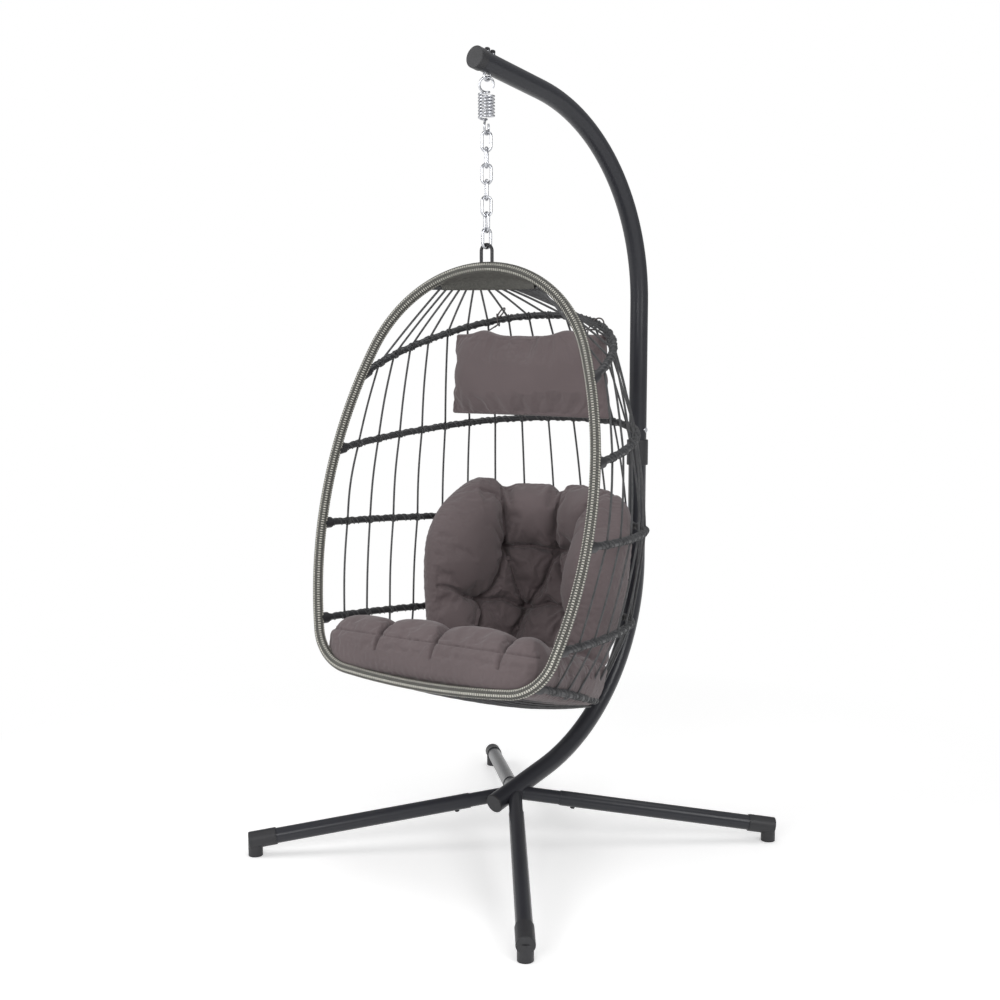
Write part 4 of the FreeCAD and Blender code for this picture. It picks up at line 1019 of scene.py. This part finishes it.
# %% [markdown]
# Fabric
#
# A plain woven polyester in taupe grey, with a soft sheen at grazing angles and a fine weave that only shows
# from near. Wrinkles too small for the mesh are a gentle bump.

# %% Fabric
fabric = finish("taupe_polyester", (0.142, 0.113, 0.116), 0.85, spread=0.08, patch=5.0, grain=700.0,
                bump=0.30, Sheen_Weight=0.20, Sheen_Roughness=0.5, Specular_IOR_Level=0.25)
print("made", fabric.name)

# %% [markdown]
# The tufted cushion
#
# The back and the seat are sewn into one skin. Each of its points is sorted by where it lies, so that the
# buttons and the folds are held while the cloth between them is free. Afterwards each fold is pressed in a
# little, as a seam's thread does.

# %% Tufted cushion
CREASE_DEPTH = 0.007
CREASE_WIDTH = 0.0036
ROLL_SEAM_HEIGHT = 0.104            # the sewn seam along the front roll's face
BACK_PART_HEIGHT = 0.135            # over the ropes' plane, where the back part begins
BUTTON_HOLD, FOLD_HOLD = 0.014, 0.006
cushion = sewn("tufted_cushion", [back_pad, seat_pad], 0.0058, 2)


def cushion_zones():
    """Which points face the sitter, on the back and on the seat, and how far each is from button and fold."""
    place = in_basket(vertex_values(cushion))
    x, y, z = place.T
    along, height = (place - SEAT_FRONT) @ seat_way, (place - SEAT_FRONT) @ seat_up
    behind = y - np.interp(z, BACK_Z, BACK_MIDDLE)
    arc = np.arctan2(x - CUSHION_SIDE, behind) * ARC_RADIUS
    radius = np.hypot(x - CUSHION_SIDE, behind)
    outer = np.interp(z, BACK_Z, BACK_RADIUS)
    in_back = (height > BACK_PART_HEIGHT) & (radius < outer + 0.01)
    front = in_back & (radius < outer - 0.5 * np.interp(z, BACK_Z, BACK_CORE))
    top = ~in_back & (height > SEAT_MIDDLE)
    back_fold = seam_distance(arc, z, [(a, b, 1.0) for a, b, _ in back_seams])
    seat_fold = seam_distance(x, along, [(a, b, 1.0) for a, b, _ in seat_seams])
    on_face = (along < 0.03) & (height > SEAT_MIDDLE)
    face_seam = np.where(on_face, np.abs(height - ROLL_SEAM_HEIGHT) + 0.0025, 1.0)
    return front, top, button_distance(arc, z), back_fold, np.minimum(seat_fold, face_seam)


front_skin, seat_skin, button_here, back_fold, seat_fold = cushion_zones()
held_back = np.maximum(bell(button_here, BUTTON_HOLD), 0.5 * bell(back_fold, FOLD_HOLD))
hold = np.where(seat_skin, 0.7 * bell(seat_fold, FOLD_HOLD), 0.4)
hold = np.where(front_skin, held_back, hold)
simulated(cushion, hold, np.where(front_skin | seat_skin, 0.016, 0.002))
subdivided(cushion)
front_skin, seat_skin, _, back_fold, seat_fold = cushion_zones()
fold = np.where(front_skin, back_fold, np.where(seat_skin, seat_fold, 1.0))
inward = CREASE_DEPTH * bell(fold, CREASE_WIDTH)
move_vertices(cushion, vertex_values(cushion) - vertex_values(cushion, "normal") * inward[:, None])
dress(cushion, fabric)
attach(cushion, "basket")
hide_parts("seat_cushion")
print("cushion points:", len(cushion.data.vertices))

# %% [markdown]
# Head pillow
#
# A flat bag of the same cloth, filled loosely: two sheets sewn round the edge and blown up a little. Its top
# edge hangs from two ties, so it dips between them, and its lower edge is wider.

# %% Head pillow
PILLOW_MIDDLE = np.array((0.010, 0.075, RIM_TOP - 0.260))
PILLOW_HALF_HEIGHT = 0.1025
PILLOW_HALF_WIDTHS = (0.230, 0.216)     # at the lower and the upper edge
PILLOW_THICKNESS = 0.088
PILLOW_DIP = 0.002
PILLOW_PEAK = 0.012
PILLOW_BOW = -0.018
EDGE_HALF = 0.003
PEAK_WIDTH, DIP_HALF = 0.16, 0.72       # as parts of the half width
TIE_SPOTS = (-0.57, 0.53)
SIDES_IN, TOP_IN = 0.025, 0.03          # how far the edges draw in between the corners
s_pillow, t_pillow = np.meshgrid(np.linspace(-1.0, 1.0, 141), np.linspace(-1.0, 1.0, 71))
upper = np.clip(t_pillow, 0.0, 1.0)
from_side, from_top = 1.0 - s_pillow ** 2, 1.0 - t_pillow ** 2
pillow_x = s_pillow * np.interp(t_pillow, (-1.0, 1.0), PILLOW_HALF_WIDTHS) * (1.0 - SIDES_IN * from_top)
dip = PILLOW_DIP * np.cos(np.clip(s_pillow / DIP_HALF, -1, 1) * math.pi / 2) ** 2 * upper ** 2
peak = PILLOW_PEAK * sum(bell(s_pillow - spot, PEAK_WIDTH) for spot in TIE_SPOTS) * upper ** 3
pillow_z = t_pillow * PILLOW_HALF_HEIGHT * (1.0 - TOP_IN * from_side) - dip + peak
swell = EDGE_HALF + (PILLOW_THICKNESS / 2 - 2 * EDGE_HALF) * (from_side * from_top) ** 0.42
front, rear = [in_world(np.stack([pillow_x, PILLOW_BOW * from_side - sign * swell, pillow_z], axis=2)
                        + PILLOW_MIDDLE) for sign in (1.0, -1.0)]
border = np.ones(s_pillow.shape, bool)
border[1:-1, 1:-1] = False
front[border] = (front[border] + rear[border]) / 2
pillow = sewn("plump_head_pillow", [pad_object("pillow_pad", front, rear)], 0.004, 1)
place = in_basket(vertex_values(pillow)) - PILLOW_MIDDLE
half_here = np.interp(place[:, 2] / PILLOW_HALF_HEIGHT, (-1.0, 1.0), PILLOW_HALF_WIDTHS)
from_edge = np.minimum(half_here - np.abs(place[:, 0]), PILLOW_HALF_HEIGHT - np.abs(place[:, 2]))
simulated(pillow, 0.8 * bell(np.clip(from_edge, 0.0, 1.0), 0.005), 0.010, 2.5, 0.045)
subdivided(pillow)
dress(pillow, fabric)
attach(pillow, "basket")
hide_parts("head_pillow")
print("pillow points:", len(pillow.data.vertices))

# %% [markdown]
# Pillow ties
#
# Two flat cords are sewn into the pillow's top edge. Each is looped once round the top rib and knotted. The
# loose tail of one stands up as an open loop behind the rib.

# %% Pillow ties
TIE_RADIUS = 0.0019
TIE_PLACES = (5.5, 11.5)                    # between ropes, counted along the rib
TIE_MARGIN = 0.055
TAIL_WAY = np.array((0.50, 0.35, 0.79))     # the loose tail leans to the right and back
TAIL_SIDE = np.array((0.84, 0.0, -0.53))
TAIL_HALF, TAIL_HALF_WIDTH = 0.015, 0.005
TIE_ROOT = PILLOW_MIDDLE + np.array((0.0, -0.004, PILLOW_HALF_HEIGHT - 0.006))
tie_reach = TUBE_RADIUS + 2 * ROPE_RADIUS + TIE_RADIUS
rib_path = resampled(rib_lines["rib_1"], 0.001)
ties = []
for place_number in TIE_PLACES:
    part = TIE_MARGIN + place_number / (ROPES - 1) * (1 - 2 * TIE_MARGIN)
    middle = int(round(part * (len(rib_path) - 1)))
    spot = rib_path[middle]
    along = rib_path[middle + 3] - rib_path[middle - 3]
    along /= np.linalg.norm(along)
    pillow_top = in_world((in_basket(spot)[0], *TIE_ROOT[1:]))
    down = pillow_top - spot
    down -= along * np.dot(down, along)
    down /= np.linalg.norm(down)
    out = np.cross(along, down)
    loop = [spot + tie_reach * (math.cos(a) * down + math.sin(a) * out)
            for a in np.linspace(0.25 * math.pi, 1.75 * math.pi, 30)]
    crossing = spot + down * (tie_reach * 1.9)
    stub = crossing + down * 0.012 + along * 0.008
    ties.append([pillow_top, (pillow_top + crossing) / 2, crossing, *loop, crossing, stub])
knot_place = ties[1][3]
tail = [knot_place + (0.017 + TAIL_HALF * math.cos(a)) * TAIL_WAY + TAIL_HALF_WIDTH * math.sin(a) * TAIL_SIDE
        for a in np.linspace(-2.6, 2.6, 26)]
ties.append([knot_place, *tail, knot_place])
tie_piece = rods_object("pillow_tie_cords", [resampled(line, 0.002) for line in ties], TIE_RADIUS, 8)
tie_fabric = finish("tie_cord_cloth", (0.098, 0.085, 0.085), 0.80, patch=60.0, grain=2400.0, bump=0.30)
dress(tie_piece, tie_fabric)
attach(tie_piece, "basket")
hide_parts("pillow_ties")
print("ties:", len(ties))

# %% [markdown]
# Spring
#
# The extension spring stretches when someone sits down, so its upper end stays with the U-bolt while its
# lower end follows the first chain link. Here a plain copy of the measured coil takes its place, unbent.

# %% The spring, a copy of the measured coil
spring_piece = bpy.data.objects.new("stretching_spring", nodes["spring"].data.copy())
spring_piece.matrix_world = nodes["spring"].matrix_world.copy()
bpy.context.scene.collection.objects.link(spring_piece)
dress(spring_piece, zinc)
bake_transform(spring_piece)
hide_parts("spring")
